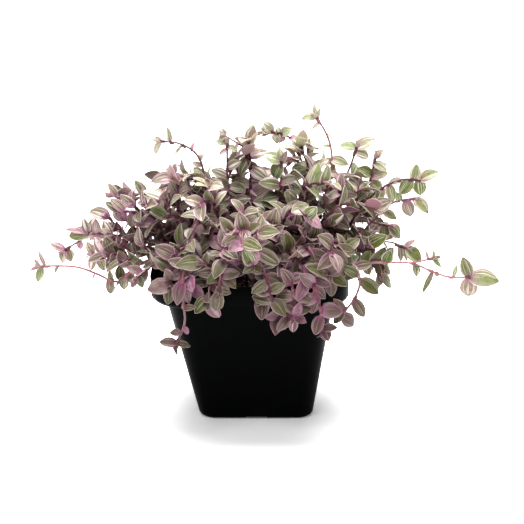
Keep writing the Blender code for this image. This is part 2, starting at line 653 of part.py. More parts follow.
class Plant:
    """The plant as it is laid out, one stalk or leaf after the other, each clear of those before."""

    def __init__(self):
        self.draw = random.Random(SEED)
        self.routes = {}
        self.stalk_trees = {}
        self.leaf_trees = {}
        self.outer_trees = {}
        self.leaves = {}

    def add_stalks(self, name, routes):
        self.routes[name] = routes
        self.stalk_trees[name] = [stalk_tree(route.points) for route in routes]
        self.leaf_trees[name] = []
        self.outer_trees[name] = []
        self.leaves[name] = []

    def route_is_clear(self, route):
        if not clears_pot(route.points[1:], room=RIM_GAP + STALK_RADIUS):
            return False
        tree = stalk_tree(route.points)
        return not any(tree.overlap(other) for trees in self.stalk_trees.values() for other in trees)

    def leaf_is_clear(self, name, leaf):
        points = blade_points(leaf, LEAF_GAP)
        if not clears_pot([points[k] for k in (1, 4, 7, 5, 2, 1)]):
            return False
        tree = blade_tree(leaf, LEAF_GAP)
        for other in self.routes:
            near = self.stalk_trees[other] + self.leaf_trees[other]
            if other == name:
                near = self.outer_trees[name]
            if any(tree.overlap(each) for each in near):
                return False
        return True

    def keep_leaf(self, name, leaf):
        self.leaves[name].append(leaf)
        self.leaf_trees[name].append(blade_tree(leaf))
        sunk = leaf.length * ROOT_SHARE
        outer = leaf._replace(base=leaf.base + leaf.along * sunk, length=leaf.length - sunk)
        self.outer_trees[name].append(blade_tree(outer))

    def try_leaves(self, name, candidates):
        """Keeps the first candidate that touches nothing, or the same ones shorter."""
        for size in (1.0, 0.8):
            for leaf in candidates:
                smaller = leaf._replace(length=leaf.length * size, width=leaf.width * size)
                if self.leaf_is_clear(name, smaller):
                    self.keep_leaf(name, smaller)
                    return

    def placed_leaf(self, name, route, share, angle, millimetres, breadth):
        """A leaf set by its angle in the front view, turned a little until it is clear."""
        base = route.at(share)[0]
        length = millimetres / 1000 * SEEN_TO_REAL
        width = length * PLACED_LEAF_SLIMNESS * breadth
        candidates = []
        for _ in range(LEAF_TRIES):
            turn = math.radians(angle + self.draw.uniform(-PLACED_TURN, PLACED_TURN))
            lean = self.draw.uniform(*PLACED_LEAN)
            along = Vector((math.cos(turn), -lean, math.sin(turn))).normalized()
            wish = Vector((self.draw.uniform(-0.3, 0.3), -0.8, 0.6))
            candidates.append(Leaf(base, along, square_to(along, wish), length, width))
        self.try_leaves(name, candidates)

    def rule_leaves(self, name, route, start, end):
        """Leaves that alternate along a route, opening away from it and facing up and outwards."""
        first_side = self.draw.uniform(0, math.tau)
        shares = []
        length = route.length()
        reach = start * length
        while reach < end * length - LEAF_SPACING * 0.6:
            shares.append(reach / length)
            reach += LEAF_SPACING * self.draw.uniform(0.8, 1.2)
        if end == 1:
            shares += TIP_SHARES
        for order, share in enumerate(shares):
            base, along_stalk = route.at(share)
            outward = Vector((base.x, base.y, (base.z - SOIL_TOP) * 0.6)).normalized()
            side = square_to(along_stalk, Vector((0, 0, 1)))
            other = along_stalk.cross(side)
            openings = TIP_OPENING if share in TIP_SHARES else SIDE_OPENING
            candidates = []
            for _ in range(LEAF_TRIES):
                around = first_side + order * LEAF_TURN + self.draw.uniform(-0.6, 0.6)
                opening = math.radians(self.draw.uniform(*openings))
                away = side * math.cos(around) + other * math.sin(around)
                along = along_stalk * math.cos(opening) + away * math.sin(opening)
                along = (along + outward * 0.18).normalized()
                face = square_to(along, along_stalk * 0.3 + outward * 1.1 + Vector((0, 0, 0.45)))
                length = LEAF_LENGTH * self.draw.uniform(0.86, 1.14)
                width = length * self.draw.uniform(*RULE_LEAF_SLIMNESS)
                candidates.append(Leaf(base, along, face, length, width))
            self.try_leaves(name, candidates)

    def stems(self):
        return [
            Stem(name, [route.points for route in routes], self.leaves[name])
            for name, routes in self.routes.items()
        ]


def in_metres(point):
    """A route's point in metres; the first has no height of its own and stands in the soil."""
    x, y = point[0] / 1000, point[1] / 1000
    return Vector((x, y, point[2] / 1000 if len(point) == 3 else SOIL_TOP + COLLAR))


def lay_placed_stems(plant):
    for name, shape in PLACED.items():
        corners = [in_metres(point) for point in shape["route"]]
        main = Route(corners, root=corners[0] - Vector((0, 0, ROOT_DEPTH + COLLAR)))
        routes = [main]
        for share, angle, length, _ in shape["twigs"]:
            turn = math.radians(angle)
            start = main.at(share)[0]
            reach = Vector((math.cos(turn), -0.2, math.sin(turn))) * length / 1000
            routes.append(Route([start, start + reach * 0.5, start + reach]))
        plant.add_stalks(name, routes)


def shoulder_drop(x):
    """How much lower the leafy dome is here than an even one: its left shoulder slopes more."""
    return SHOULDER_DROP * max(SHOULDER_FROM - x, 0)


def rule_route(plant, order):
    """A stem's route by rule: up from the soil, then arching out to its own spot on the leafy dome."""
    share = (order + 0.5) / RULE_STEMS
    polar = math.acos(1 - share * (1 - math.cos(DOME_REACH)))
    azimuth = order * GOLDEN_ANGLE
    for attempt in range(ROUTE_TRIES):
        spread = plant.draw.uniform(-TIP_SPREAD, TIP_SPREAD) * (1 + attempt / 20)
        reach = plant.draw.uniform(*TIP_REACH)
        direction = Vector((math.cos(azimuth + spread), math.sin(azimuth + spread), 0))
        squareness = 1 / max(abs(direction.x), abs(direction.y))
        tip = DOME_CENTRE + Vector(
            (
                DOME_RADII.x * math.sin(polar) * direction.x,
                DOME_RADII.y * math.sin(polar) * direction.y,
                DOME_RADII.z * math.cos(polar),
            )
        ) * reach
        tip.z -= shoulder_drop(tip.x) * max(math.cos(polar), 0)
        root_reach = ROOT_SPREAD * squareness ** 0.6 * (polar / DOME_REACH) ** 0.75
        root = direction * root_reach * plant.draw.uniform(*ROOT_REACH)
        root.x += lean_at(SOIL_TOP)
        root.z = SOIL_TOP - ROOT_DEPTH
        collar = Vector((root.x, root.y, SOIL_TOP + COLLAR))
        over = root.lerp(tip, OVER_SHARE)
        over.z = SOIL_TOP + max((tip.z - SOIL_TOP) * OVER_RISE, LEAST_RISE) + SIDE_LIFT * math.sin(polar)
        bow = root.lerp(tip, BOW_SHARE)
        bow.z = mix(over.z, tip.z, BOW_RISE) + SIDE_LIFT * math.sin(polar)
        route = Route([collar, over, bow, tip], root=root)
        if plant.route_is_clear(route):
            return route
    return None


def lay_rule_stems(plant):
    for order in range(CROWN_STEMS, RULE_STEMS):
        route = rule_route(plant, order)
        if route:
            plant.add_stalks(f"{order + 1:02d}", [route])


def lay_leaves(plant):
    for name, shape in PLACED.items():
        routes = plant.routes[name]
        for leaf in shape["leaves"]:
            plant.placed_leaf(name, routes[0], *leaf)
        for twig, route in zip(shape["twigs"], routes[1:]):
            for leaf in twig[3]:
                plant.placed_leaf(name, route, *leaf)
    for name, routes in plant.routes.items():
        if name in PLACED:
            first = min(leaf[0] for leaf in PLACED[name]["leaves"])
            plant.rule_leaves(name, routes[0], LEAFY_FROM, first - 0.06)
        else:
            plant.rule_leaves(name, routes[0], LEAFY_FROM, 1)


def lay_out_plant():
    plant = Plant()
    lay_placed_stems(plant)
    lay_rule_stems(plant)
    lay_leaves(plant)
    return plant.stems()


def stalk_mesh(points, thickness):
    """A stalk as a four-sided tube that thins towards its tip."""
    curve = bpy.data.curves.new("stalk", "CURVE")
    curve.dimensions = "3D"
    curve.bevel_depth = STALK_RADIUS * thickness
    curve.bevel_resolution = 0
    curve.use_fill_caps = True
    spline = curve.splines.new("POLY")
    spline.points.add(len(points) - 1)
    for k, (spot, point) in enumerate(zip(spline.points, points)):
        spot.co = (*point, 1)
        spot.radius = mix(1, TIP_RADIUS_SHARE, k / (len(points) - 1))
    carrier = new_object("stalk", curve, bpy.context.scene.collection)
    evaluated = carrier.evaluated_get(bpy.context.evaluated_depsgraph_get())
    mesh = bpy.data.meshes.new_from_object(evaluated)
    bpy.data.objects.remove(carrier)
    bm = bmesh.new()
    bm.from_mesh(mesh)
    bmesh.ops.remove_doubles(bm, verts=bm.verts, dist=1e-6)
    bmesh.ops.recalc_face_normals(bm, faces=bm.faces)
    bm.to_mesh(mesh)
    bm.free()
    return mesh


def leaf_mesh(leaf):
    """A leaf as a sphere of three sides and three bands, stretched into a keeled blade."""
    bm = bmesh.new()
    bmesh.ops.create_uvsphere(bm, u_segments=3, v_segments=3, radius=1)
    bmesh.ops.triangulate(bm, faces=bm.faces)
    shape = blade_points(leaf)
    for vert in bm.verts:
        if abs(vert.co.z) > 0.9:
            vert.co = shape[7] if vert.co.z > 0 else shape[0]
            continue
        ring = 4 if vert.co.z > 0 else 1
        side = round(math.atan2(vert.co.y, vert.co.x) / (math.tau / 3)) % 3
        vert.co = shape[ring + side]
    return mesh_from(bm, "leaf")


def make_stem(stem, collection, material):
    """Joins a stem's stalks and leaves into one solid."""
    body = new_object("stem_" + stem.name, stalk_mesh(stem.stalks[0], 1), collection)
    additions = new_collection("additions_" + stem.name)
    for points in stem.stalks[1:]:
        new_object("twig", stalk_mesh(points, TWIG_SHARE), additions)
    for leaf in stem.leaves:
        new_object("leaf", leaf_mesh(leaf), additions)
    union = body.modifiers.new("Leaves", "BOOLEAN")
    union.operation = "UNION"
    union.operand_type = "COLLECTION"
    union.collection = additions
    union.solver = "MANIFOLD"
    evaluated = body.evaluated_get(bpy.context.evaluated_depsgraph_get())
    joined = bpy.data.meshes.new_from_object(evaluated)
    body.modifiers.clear()
    body.data = joined
    body.data.materials.clear()
    body.data.materials.append(material)
    for obj in list(additions.objects):
        bpy.data.objects.remove(obj)
    bpy.data.collections.remove(additions)
    return body


clear_scene()
whole = new_collection("potted_callisia")
notches = new_collection("notch_cutters", hidden=True)
holes = new_collection("hole_cutters", hidden=True)
stems = lay_out_plant()
make_pot(whole, notches)
make_soil(whole, holes, stems)
striped = principled("striped_leaves", (0.33, 0.36, 0.22), 0.45)
for stem in stems:
    make_stem(stem, whole, striped)
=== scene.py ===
# Potted callisia, dressed: a satin black nursery pot, peaty soil, and leafy stems with striped leaves.
# Units are metres, +Z is up and -Y is the front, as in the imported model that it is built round.

import math
import random
from collections import namedtuple
from itertools import product

import bpy
import numpy as np
from mathutils import Matrix, Vector, noise
from mathutils.bvhtree import BVHTree
from mathutils.geometry import intersect_point_line


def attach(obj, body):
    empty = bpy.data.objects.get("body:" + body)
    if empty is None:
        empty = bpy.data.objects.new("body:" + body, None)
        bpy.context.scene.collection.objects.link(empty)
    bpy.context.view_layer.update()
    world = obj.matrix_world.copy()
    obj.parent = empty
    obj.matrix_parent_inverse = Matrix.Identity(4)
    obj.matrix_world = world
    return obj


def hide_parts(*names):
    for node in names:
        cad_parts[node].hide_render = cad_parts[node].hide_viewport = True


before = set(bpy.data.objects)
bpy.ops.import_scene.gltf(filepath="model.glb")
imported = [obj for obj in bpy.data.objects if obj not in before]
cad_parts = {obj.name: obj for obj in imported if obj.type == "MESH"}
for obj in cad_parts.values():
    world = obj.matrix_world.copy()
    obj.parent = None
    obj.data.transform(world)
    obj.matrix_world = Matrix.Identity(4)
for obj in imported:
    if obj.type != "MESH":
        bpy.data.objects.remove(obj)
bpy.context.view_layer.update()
scene = bpy.context.scene


# The pot
# A common square nursery pot of thin black plastic, moulded in one piece: a tapered wall with round corners,
# a shallow step and a wider rim band. Each side's foot has a drain notch, and the thin wall leans a little.

POT_HEIGHT = 0.0794
RIM_HALF = 0.0500
RIM_CORNER = 0.0190
RIM_LOW = 0.0696
SHOULDER_HALF = 0.0482
SHOULDER_HEIGHT = 0.0676
WALL_TOP_HALF = 0.0424
WALL_TOP_CORNER = 0.0117
WALL_TOP = 0.0668
FOOT_HALF = 0.0300
FOOT_CORNER = 0.0089
FOOT_FILLET = 0.0031
POT_WALL = 0.0012
POT_LEAN = -0.0035
NOTCH_WIDTH = 0.0110
NOTCH_HEIGHT = 0.0011
NOTCH_REACH = 0.0060
CORNER_STEPS = 10
FILLET_STEPS = 4
EDGE_ROUNDING = 0.00035
ROUNDED_FROM = math.radians(35)
POT_SMOOTH = math.radians(30)
BLACK = (0.0007, 0.0009, 0.0008)
DUST = (0.004, 0.0037, 0.0034)
DUST_HEIGHT = 0.012
MOULD_GRAIN = 0.00004


def mix(low, high, share):
    return low + (high - low) * share


def lean_at(height):
    """How far the thin pot's axis has moved to the side at this height."""
    return POT_LEAN * height / POT_HEIGHT


def wall_section(height):
    """Half width and corner radius of the outer wall at this height."""
    share = (height - FOOT_FILLET) / (WALL_TOP - FOOT_FILLET)
    return mix(FOOT_HALF, WALL_TOP_HALF, share), mix(FOOT_CORNER, WALL_TOP_CORNER, share)


def rounded_square(half, corner, height):
    """The points of a square with round corners, at one height of the leaning pot."""
    points = []
    for quarter in range(4):
        x = half - corner if quarter in (0, 3) else corner - half
        y = half - corner if quarter < 2 else corner - half
        for step in range(CORNER_STEPS + 1):
            angle = math.pi / 2 * (quarter + step / CORNER_STEPS)
            across = x + math.cos(angle) * corner + lean_at(height)
            points.append((across, y + math.sin(angle) * corner, height))
    return points


def by_angle(point):
    return math.atan2(point[1], point[0] - lean_at(point[2]))


def select_only(*pieces):
    """Selects these pieces alone and makes the first of them active."""
    for each in bpy.context.selected_objects:
        each.select_set(False)
    for piece in pieces:
        piece.select_set(True)
    if pieces:
        bpy.context.view_layer.objects.active = pieces[0]


def apply_modifiers(piece):
    select_only(piece)
    for modifier in list(piece.modifiers):
        bpy.ops.object.modifier_apply(modifier=modifier.name)


def close_mesh():
    """Turns all faces outwards and leaves edit mode."""
    bpy.ops.mesh.select_all(action="SELECT")
    bpy.ops.mesh.normals_make_consistent(inside=False)
    bpy.ops.object.mode_set(mode="OBJECT")


def place_ring(piece, section):
    """Moves the ring that is selected in edit mode onto a rounded square."""
    bpy.ops.object.mode_set(mode="OBJECT")
    ring = sorted((vert for vert in piece.data.vertices if vert.select), key=lambda vert: by_angle(vert.co))
    for vert, point in zip(ring, sorted(rounded_square(*section), key=by_angle)):
        vert.co = point
    bpy.ops.object.mode_set(mode="EDIT")


class Paint:
    """One output in a material's nodes. Sums on it add Math nodes, and add() makes any other node."""

    def __init__(self, tree, socket=None):
        self.tree = tree
        self.socket = socket

    def feed(self, socket, value):
        """Links a Paint to a socket, or sets the socket's own value."""
        if isinstance(value, Paint):
            self.tree.links.new(value.socket, socket)
        else:
            socket.default_value = value

    def finish(self, **sockets):
        """Feeds the material's shader, whose sockets are named with underscores."""
        shader = self.tree.nodes["Principled BSDF"]
        for name, value in sockets.items():
            self.feed(shader.inputs[name.replace("_", " ")], value)

    def add(self, kind, settings, sockets, output=0):
        """A node of this kind: its settings are set first, then the values or links of its sockets."""
        node = self.tree.nodes.new("ShaderNode" + kind)
        for name, value in settings.items():
            setattr(node, name, value)
        for name, value in sockets.items():
            self.feed(node.inputs[name], value)
        if isinstance(output, tuple):
            return [Paint(self.tree, node.outputs[number]) for number in output]
        return Paint(self.tree, node.outputs[output])

    def maths(self, operation, *values):
        return self.add("Math", {"operation": operation}, dict(enumerate(values)))

    def __add__(self, other):
        return self.maths("ADD", self, other)

    __radd__ = __add__

    def __mul__(self, other):
        return self.maths("MULTIPLY", self, other)

    __rmul__ = __mul__

    def __sub__(self, other):
        return self.maths("SUBTRACT", self, other)

    def __rsub__(self, other):
        return self.maths("SUBTRACT", other, self)

    def __abs__(self):
        return self.maths("ABSOLUTE", self)

    def step(self, low, high):
        """0 below the low value, 1 above the high one, and smooth between them."""
        settings = {"interpolation_type": "SMOOTHSTEP"}
        return self.add("MapRange", settings, {"Value": self, "From Min": low, "From Max": high})

    def tint(self, low, high):
        """A colour that goes from the low to the high one as this goes from 0 to 1."""
        low, high = ((*colour, 1) if isinstance(colour, tuple) else colour for colour in (low, high))
        return self.add("Mix", {"data_type": "RGBA"}, {0: self, 6: low, 7: high}, output=2)

    def vector(self, *parts):
        return self.add("CombineXYZ", {}, dict(enumerate(parts)))

    def parts(self):
        return self.add("SeparateXYZ", {}, {0: self}, output=(0, 1, 2))

    def place(self):
        """Where a point lies on the piece, in Object coordinates."""
        return self.add("TexCoord", {}, {}, output=3)

    def attribute(self, name):
        """The three parts of a vector that the mesh holds."""
        return self.add("Attribute", {"attribute_name": name}, {}, output=1).parts()

    def noise(self, **values):
        return self.add("TexNoise", {}, {"Vector": self, **values})

    def bump(self, strength, distance):
        """The normal of a surface with this as its relief."""
        return self.add("Bump", {}, {"Strength": strength, "Distance": distance, "Height": self})


def finish_for(name, **sockets):
    """A material, and a Paint to add nodes to it with."""
    material = bpy.data.materials.new(name)
    material.use_nodes = True
    paint = Paint(material.node_tree)
    paint.finish(**sockets)
    return material, paint


foot_sections = []
for step in range(FILLET_STEPS):
    bend = math.pi / 2 * step / FILLET_STEPS
    inset = FOOT_FILLET * (1 - math.sin(bend))
    rise = FOOT_FILLET * (1 - math.cos(bend))
    foot_sections.append((FOOT_HALF - inset, FOOT_CORNER - inset, rise))
POT_SECTIONS = (
    *foot_sections,
    (FOOT_HALF, FOOT_CORNER, FOOT_FILLET),
    (WALL_TOP_HALF, WALL_TOP_CORNER, WALL_TOP),
    (SHOULDER_HALF, RIM_CORNER - RIM_HALF + SHOULDER_HALF, SHOULDER_HEIGHT),
    (RIM_HALF, RIM_CORNER, RIM_LOW),
    (RIM_HALF, RIM_CORNER, POT_HEIGHT),
)

select_only()
bpy.ops.mesh.primitive_circle_add(vertices=4 * (CORNER_STEPS + 1), radius=FOOT_HALF, fill_type="NGON")
pot = bpy.context.object
pot.name = "moulded_pot"
bpy.ops.object.mode_set(mode="EDIT")
bpy.ops.mesh.select_mode(type="EDGE")
bpy.ops.mesh.select_all(action="SELECT")
place_ring(pot, POT_SECTIONS[0])
for section in POT_SECTIONS[1:]:
    bpy.ops.mesh.extrude_edges_move()
    place_ring(pot, section)
close_mesh()

shell = pot.modifiers.new("Wall", "SOLIDIFY")
shell.thickness = POT_WALL
shell.offset = -1
shell.use_even_offset = True
soft = pot.modifiers.new("Soft edges", "BEVEL")
soft.width = EDGE_ROUNDING
soft.segments = 2
soft.angle_limit = ROUNDED_FROM
apply_modifiers(pot)
for side in range(4):
    turn = math.pi / 2 * side
    spot = (math.sin(turn) * FOOT_HALF, -math.cos(turn) * FOOT_HALF, 0)
    bpy.ops.mesh.primitive_cube_add(size=1, location=spot, rotation=(0, 0, turn))
    notch = bpy.context.object
    notch.scale = (NOTCH_WIDTH, NOTCH_REACH * 2, NOTCH_HEIGHT * 2)
    drain = pot.modifiers.new("Drain notch", "BOOLEAN")
    drain.operation = "DIFFERENCE"
    drain.object = notch
    apply_modifiers(pot)
    bpy.data.objects.remove(notch)
select_only(pot)
bpy.ops.object.shade_smooth_by_angle(angle=POT_SMOOTH)

plastic, paint = finish_for("satin_black_plastic", Roughness=0.4, Specular_IOR_Level=0.01)
place = paint.place()
cloud = place.noise(Scale=55.0, Detail=4.0)
grain = place.noise(Scale=1400.0, Detail=2.0)
height = place.parts()[2]
dusty = (1 - height.step(0.0, DUST_HEIGHT)) * cloud.step(0.45, 0.7) * 0.3
paint.finish(
    Base_Color=dusty.tint(BLACK, DUST),
    Roughness=cloud * 0.14 + 0.32,
    Normal=grain.bump(0.25, MOULD_GRAIN),
)
pot.data.materials.append(plastic)
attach(pot, "root")
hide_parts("pot")


# The soil
# Dark peaty potting soil, filled in loose to just below the rim band and a little crowned in the middle.
# Its surface is lumpy, and crumbs lie on it.

SOIL_GAP = 0.0004
SOIL_EDGE = 0.0650
SOIL_TOP = 0.0662
SOIL_FOOT = 0.0046
SOIL_CELLS = 56
SOIL_SMOOTH = math.radians(60)
TINY = 1e-6

# From its edge inwards the soil has its full crown after a sixth of its half width, and its full lumps
# after a twelfth
CROWN_SLOPE = 6
LUMP_SLOPE = 12

# Lumps: their layers are (how fast the finer ones fade, how much finer each is, how many there are)
LUMP_SIZE = 0.0045
LUMP_HEIGHT = 0.0009
LUMP_LAYERS = (0.8, 2.2, 4)

# Crumbs: from the smallest size to the largest, and stretched within these spans in the three directions
CRUMBS = 170
CRUMB_SIZES = (0.0007, 0.0022)
CRUMB_STRETCH = ((0.6, 1.7), (0.7, 1.2), (0.5, 0.9))
CRUMB_INSET = 0.003
CRUMB_SEED = 5

# Peat: clods from dark to brown, and paler fibres
DARK_PEAT = (0.006, 0.004, 0.003)
BROWN_PEAT = (0.045, 0.026, 0.014)
FIBRE = (0.06, 0.04, 0.026)
CLOD_RELIEF = 0.0004


def soil_reach(direction, half, corner):
    """How far a rounded square reaches from its middle in a flat direction."""
    long, short = sorted((abs(direction.x), abs(direction.y)), reverse=True)
    reach = half / long
    if reach * short <= half - corner:
        return reach
    middle = (half - corner) * (long + short)
    return middle + math.sqrt(middle**2 - 2 * (half - corner) ** 2 + corner**2)


def soil_height(x, y):
    return noise.fractal(Vector((x, y, 0)) / LUMP_SIZE, *LUMP_LAYERS) * LUMP_HEIGHT


def join_pieces(pieces, name):
    select_only(*pieces)
    bpy.ops.object.join()
    joined = bpy.context.object
    joined.name = name
    return joined


soil_half, soil_corner = (size - (POT_WALL + SOIL_GAP) for size in wall_section(SOIL_EDGE))
select_only()
bpy.ops.mesh.primitive_grid_add(x_subdivisions=SOIL_CELLS, y_subdivisions=SOIL_CELLS, size=2)
soil = bpy.context.object
soil.name = "peaty_soil"
for vert in soil.data.vertices:
    flat = Vector((vert.co.x, vert.co.y, 0))
    out = max(abs(flat.x), abs(flat.y))
    if flat.length > TINY:
        flat *= soil_reach(flat.normalized(), soil_half, soil_corner) * out / flat.length
    crown = mix(SOIL_EDGE, SOIL_TOP, min((1 - out) * CROWN_SLOPE, 1))
    lump = soil_height(flat.x, flat.y) * min((1 - out) * LUMP_SLOPE, 1)
    vert.co = (flat.x + lean_at(SOIL_TOP), flat.y, crown + lump)
bpy.ops.object.mode_set(mode="EDIT")
bpy.ops.mesh.select_all(action="SELECT")
bpy.ops.mesh.region_to_loop()
down = (-lean_at(SOIL_TOP), 0, SOIL_FOOT - SOIL_EDGE)
bpy.ops.mesh.extrude_edges_move(TRANSFORM_OT_translate={"value": down})
shrink = (FOOT_HALF - POT_WALL - SOIL_GAP) / soil_half
bpy.ops.transform.resize(value=(shrink, shrink, 1), center_override=(0, 0, SOIL_FOOT))
bpy.ops.mesh.edge_face_add()
close_mesh()
bpy.ops.object.shade_smooth_by_angle(angle=SOIL_SMOOTH)

peat, paint = finish_for("peat", Roughness=0.95, Specular_IOR_Level=0.2)
place = paint.place()
clods = place.noise(Scale=420.0, Detail=6.0, Roughness=0.7)
fibres = paint.add("TexVoronoi", {}, {"Vector": place, "Scale": 900.0})
brown = clods.step(0.35, 0.7).tint(DARK_PEAT, BROWN_PEAT)
paint.finish(
    Base_Color=fibres.step(0.0, 0.25).tint(FIBRE, brown),
    Normal=(clods + fibres * 0.4).bump(0.8, CLOD_RELIEF),
)
soil.data.materials.append(peat)
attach(soil, "root")
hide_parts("soil")

draw = random.Random(CRUMB_SEED)
crumbs = []
for _ in range(CRUMBS):
    flat = Vector((draw.uniform(-1, 1), draw.uniform(-1, 1), 0)) * (soil_half - CRUMB_INSET)
    spot = (flat.x + lean_at(SOIL_TOP), flat.y, SOIL_TOP + soil_height(flat.x, flat.y))
    turn = [draw.uniform(0, math.pi) for _ in range(3)]
    radius = draw.uniform(*CRUMB_SIZES) / 2
    bpy.ops.mesh.primitive_ico_sphere_add(subdivisions=1, radius=radius, location=spot, rotation=turn)
    bpy.context.object.scale = [draw.uniform(*span) for span in CRUMB_STRETCH]
    crumbs.append(bpy.context.object)
crumbs = join_pieces(crumbs, "soil_crumbs")
bpy.ops.object.transform_apply(location=True, rotation=True, scale=True)
crumbs.data.materials.append(peat)
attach(crumbs, "root")


# How the stems are laid
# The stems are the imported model's own, laid by its rule and with its random draws, so that every stalk and
# leaf grows where its solid stands. Thirty were followed one by one; the others end on a dome.

SEED = 11
UP = Vector((0, 0, 1))
ANY_SIDE = Vector((0.3, 1, 0.2))

# Stalks: a collar is the straight piece that stands out of the soil, and a route is read in steps
STALK_RADIUS = 0.00075
TWIG_SHARE = 0.8
TWIG_LEAN = -0.2
TIP_RADIUS_SHARE = 0.7
CURVE_STEPS = 12
ROUTE_STEP = 0.0105
COLLAR = 0.0012
ROOT_DEPTH = 0.0065

# Leaves: the rings are (share of the length, share of the width), and the keel and the arch are shares too.
# A placed leaf leans to the front or the back, so it is a little longer than it looks from the front.
LEAF_LENGTH = 0.0110
LEAF_RIDGE = 0.0007
LEAF_SUNK = 0.0003
ROOT_SHARE = 0.22
PLACED_LEAF_SLIMNESS = 0.58
SEEN_TO_REAL = 1.08
PLACED_TURN = 9
PLACED_LEAN = (-0.35, 0.45)
PLACED_FACE_PLAY = 0.3
PLACED_FACE = (-0.8, 0.6)
RULE_LEAF_SLIMNESS = (0.54, 0.64)
RULE_SIZES = (0.86, 1.14)
KEEL = 0.16
ARCH = 0.07
BLADE_RINGS = ((0.28, 0.92), (0.68, 0.86))

# The rule that sets the stems which aren't placed one by one: their tips lie on a dome, whose left
# shoulder slopes more. The first stems of the rule, at the top, are left out for the placed crown.
RULE_STEMS = 32
CROWN_STEMS = 5
GOLDEN_ANGLE = math.pi * (3 - math.sqrt(5))
DOME_CENTRE = Vector((-0.001, 0.002, 0.082))
DOME_RADII = Vector((0.072, 0.064, 0.057))
SHOULDER_FROM = -0.016
SHOULDER_DROP = 0.28
DOME_REACH = math.radians(106)
TIP_SPREAD = 0.16
TIP_REACH = (0.84, 1.04)
ROOT_SPREAD = 0.033
ROOT_REACH = (0.82, 1.06)
ROOT_SQUARENESS = 0.6
ROOT_CROWDING = 0.75
OVER_SHARE = 0.42
OVER_RISE = 0.75
BOW_SHARE = 0.76
BOW_RISE = 0.6
LEAST_RISE = 0.021
SIDE_LIFT = 0.0065

# How a rule's leaf grows: its place on the stalk, its turn round it, how far it opens from it, and the
# pull outwards. Its face turns by shares along the stalk, outwards and up.
LEAFY_FROM = 0.38
BARE_BELOW_PLACED = 0.06
LEAF_SPACING = 0.0095
SPACING_PLAY = (0.8, 1.2)
LAST_SPACING = 0.6
TIP_SHARES = (0.97, 0.995)
TIP_OPENING = (25, 70)
SIDE_OPENING = (48, 80)
LEAF_TURN = math.radians(150)
TURN_PLAY = 0.6
OUTWARD_RISE = 0.6
OUTWARD_PULL = 0.18
FACE_ALONG = 0.3
FACE_OUT = 1.1
FACE_UP = 0.45

# The gaps that stems keep to each other and to the pot, how often a place is tried, and the shorter size
# that a leaf is given where it finds none. Leaves near each other are found by cells of space.
LEAF_GAP = 0.0003
STALK_GAP = 0.0003
RIM_GAP = 0.0010
SOIL_ROOM = COLLAR * 0.8
POT_TESTS = 4
LEAF_TRIES = 14
ROUTE_TRIES = 60
SPREAD_TRIES = 20
SHORT_LEAF = 0.8
CELL = 0.0145

Leaf = namedtuple("Leaf", "base along face length width")

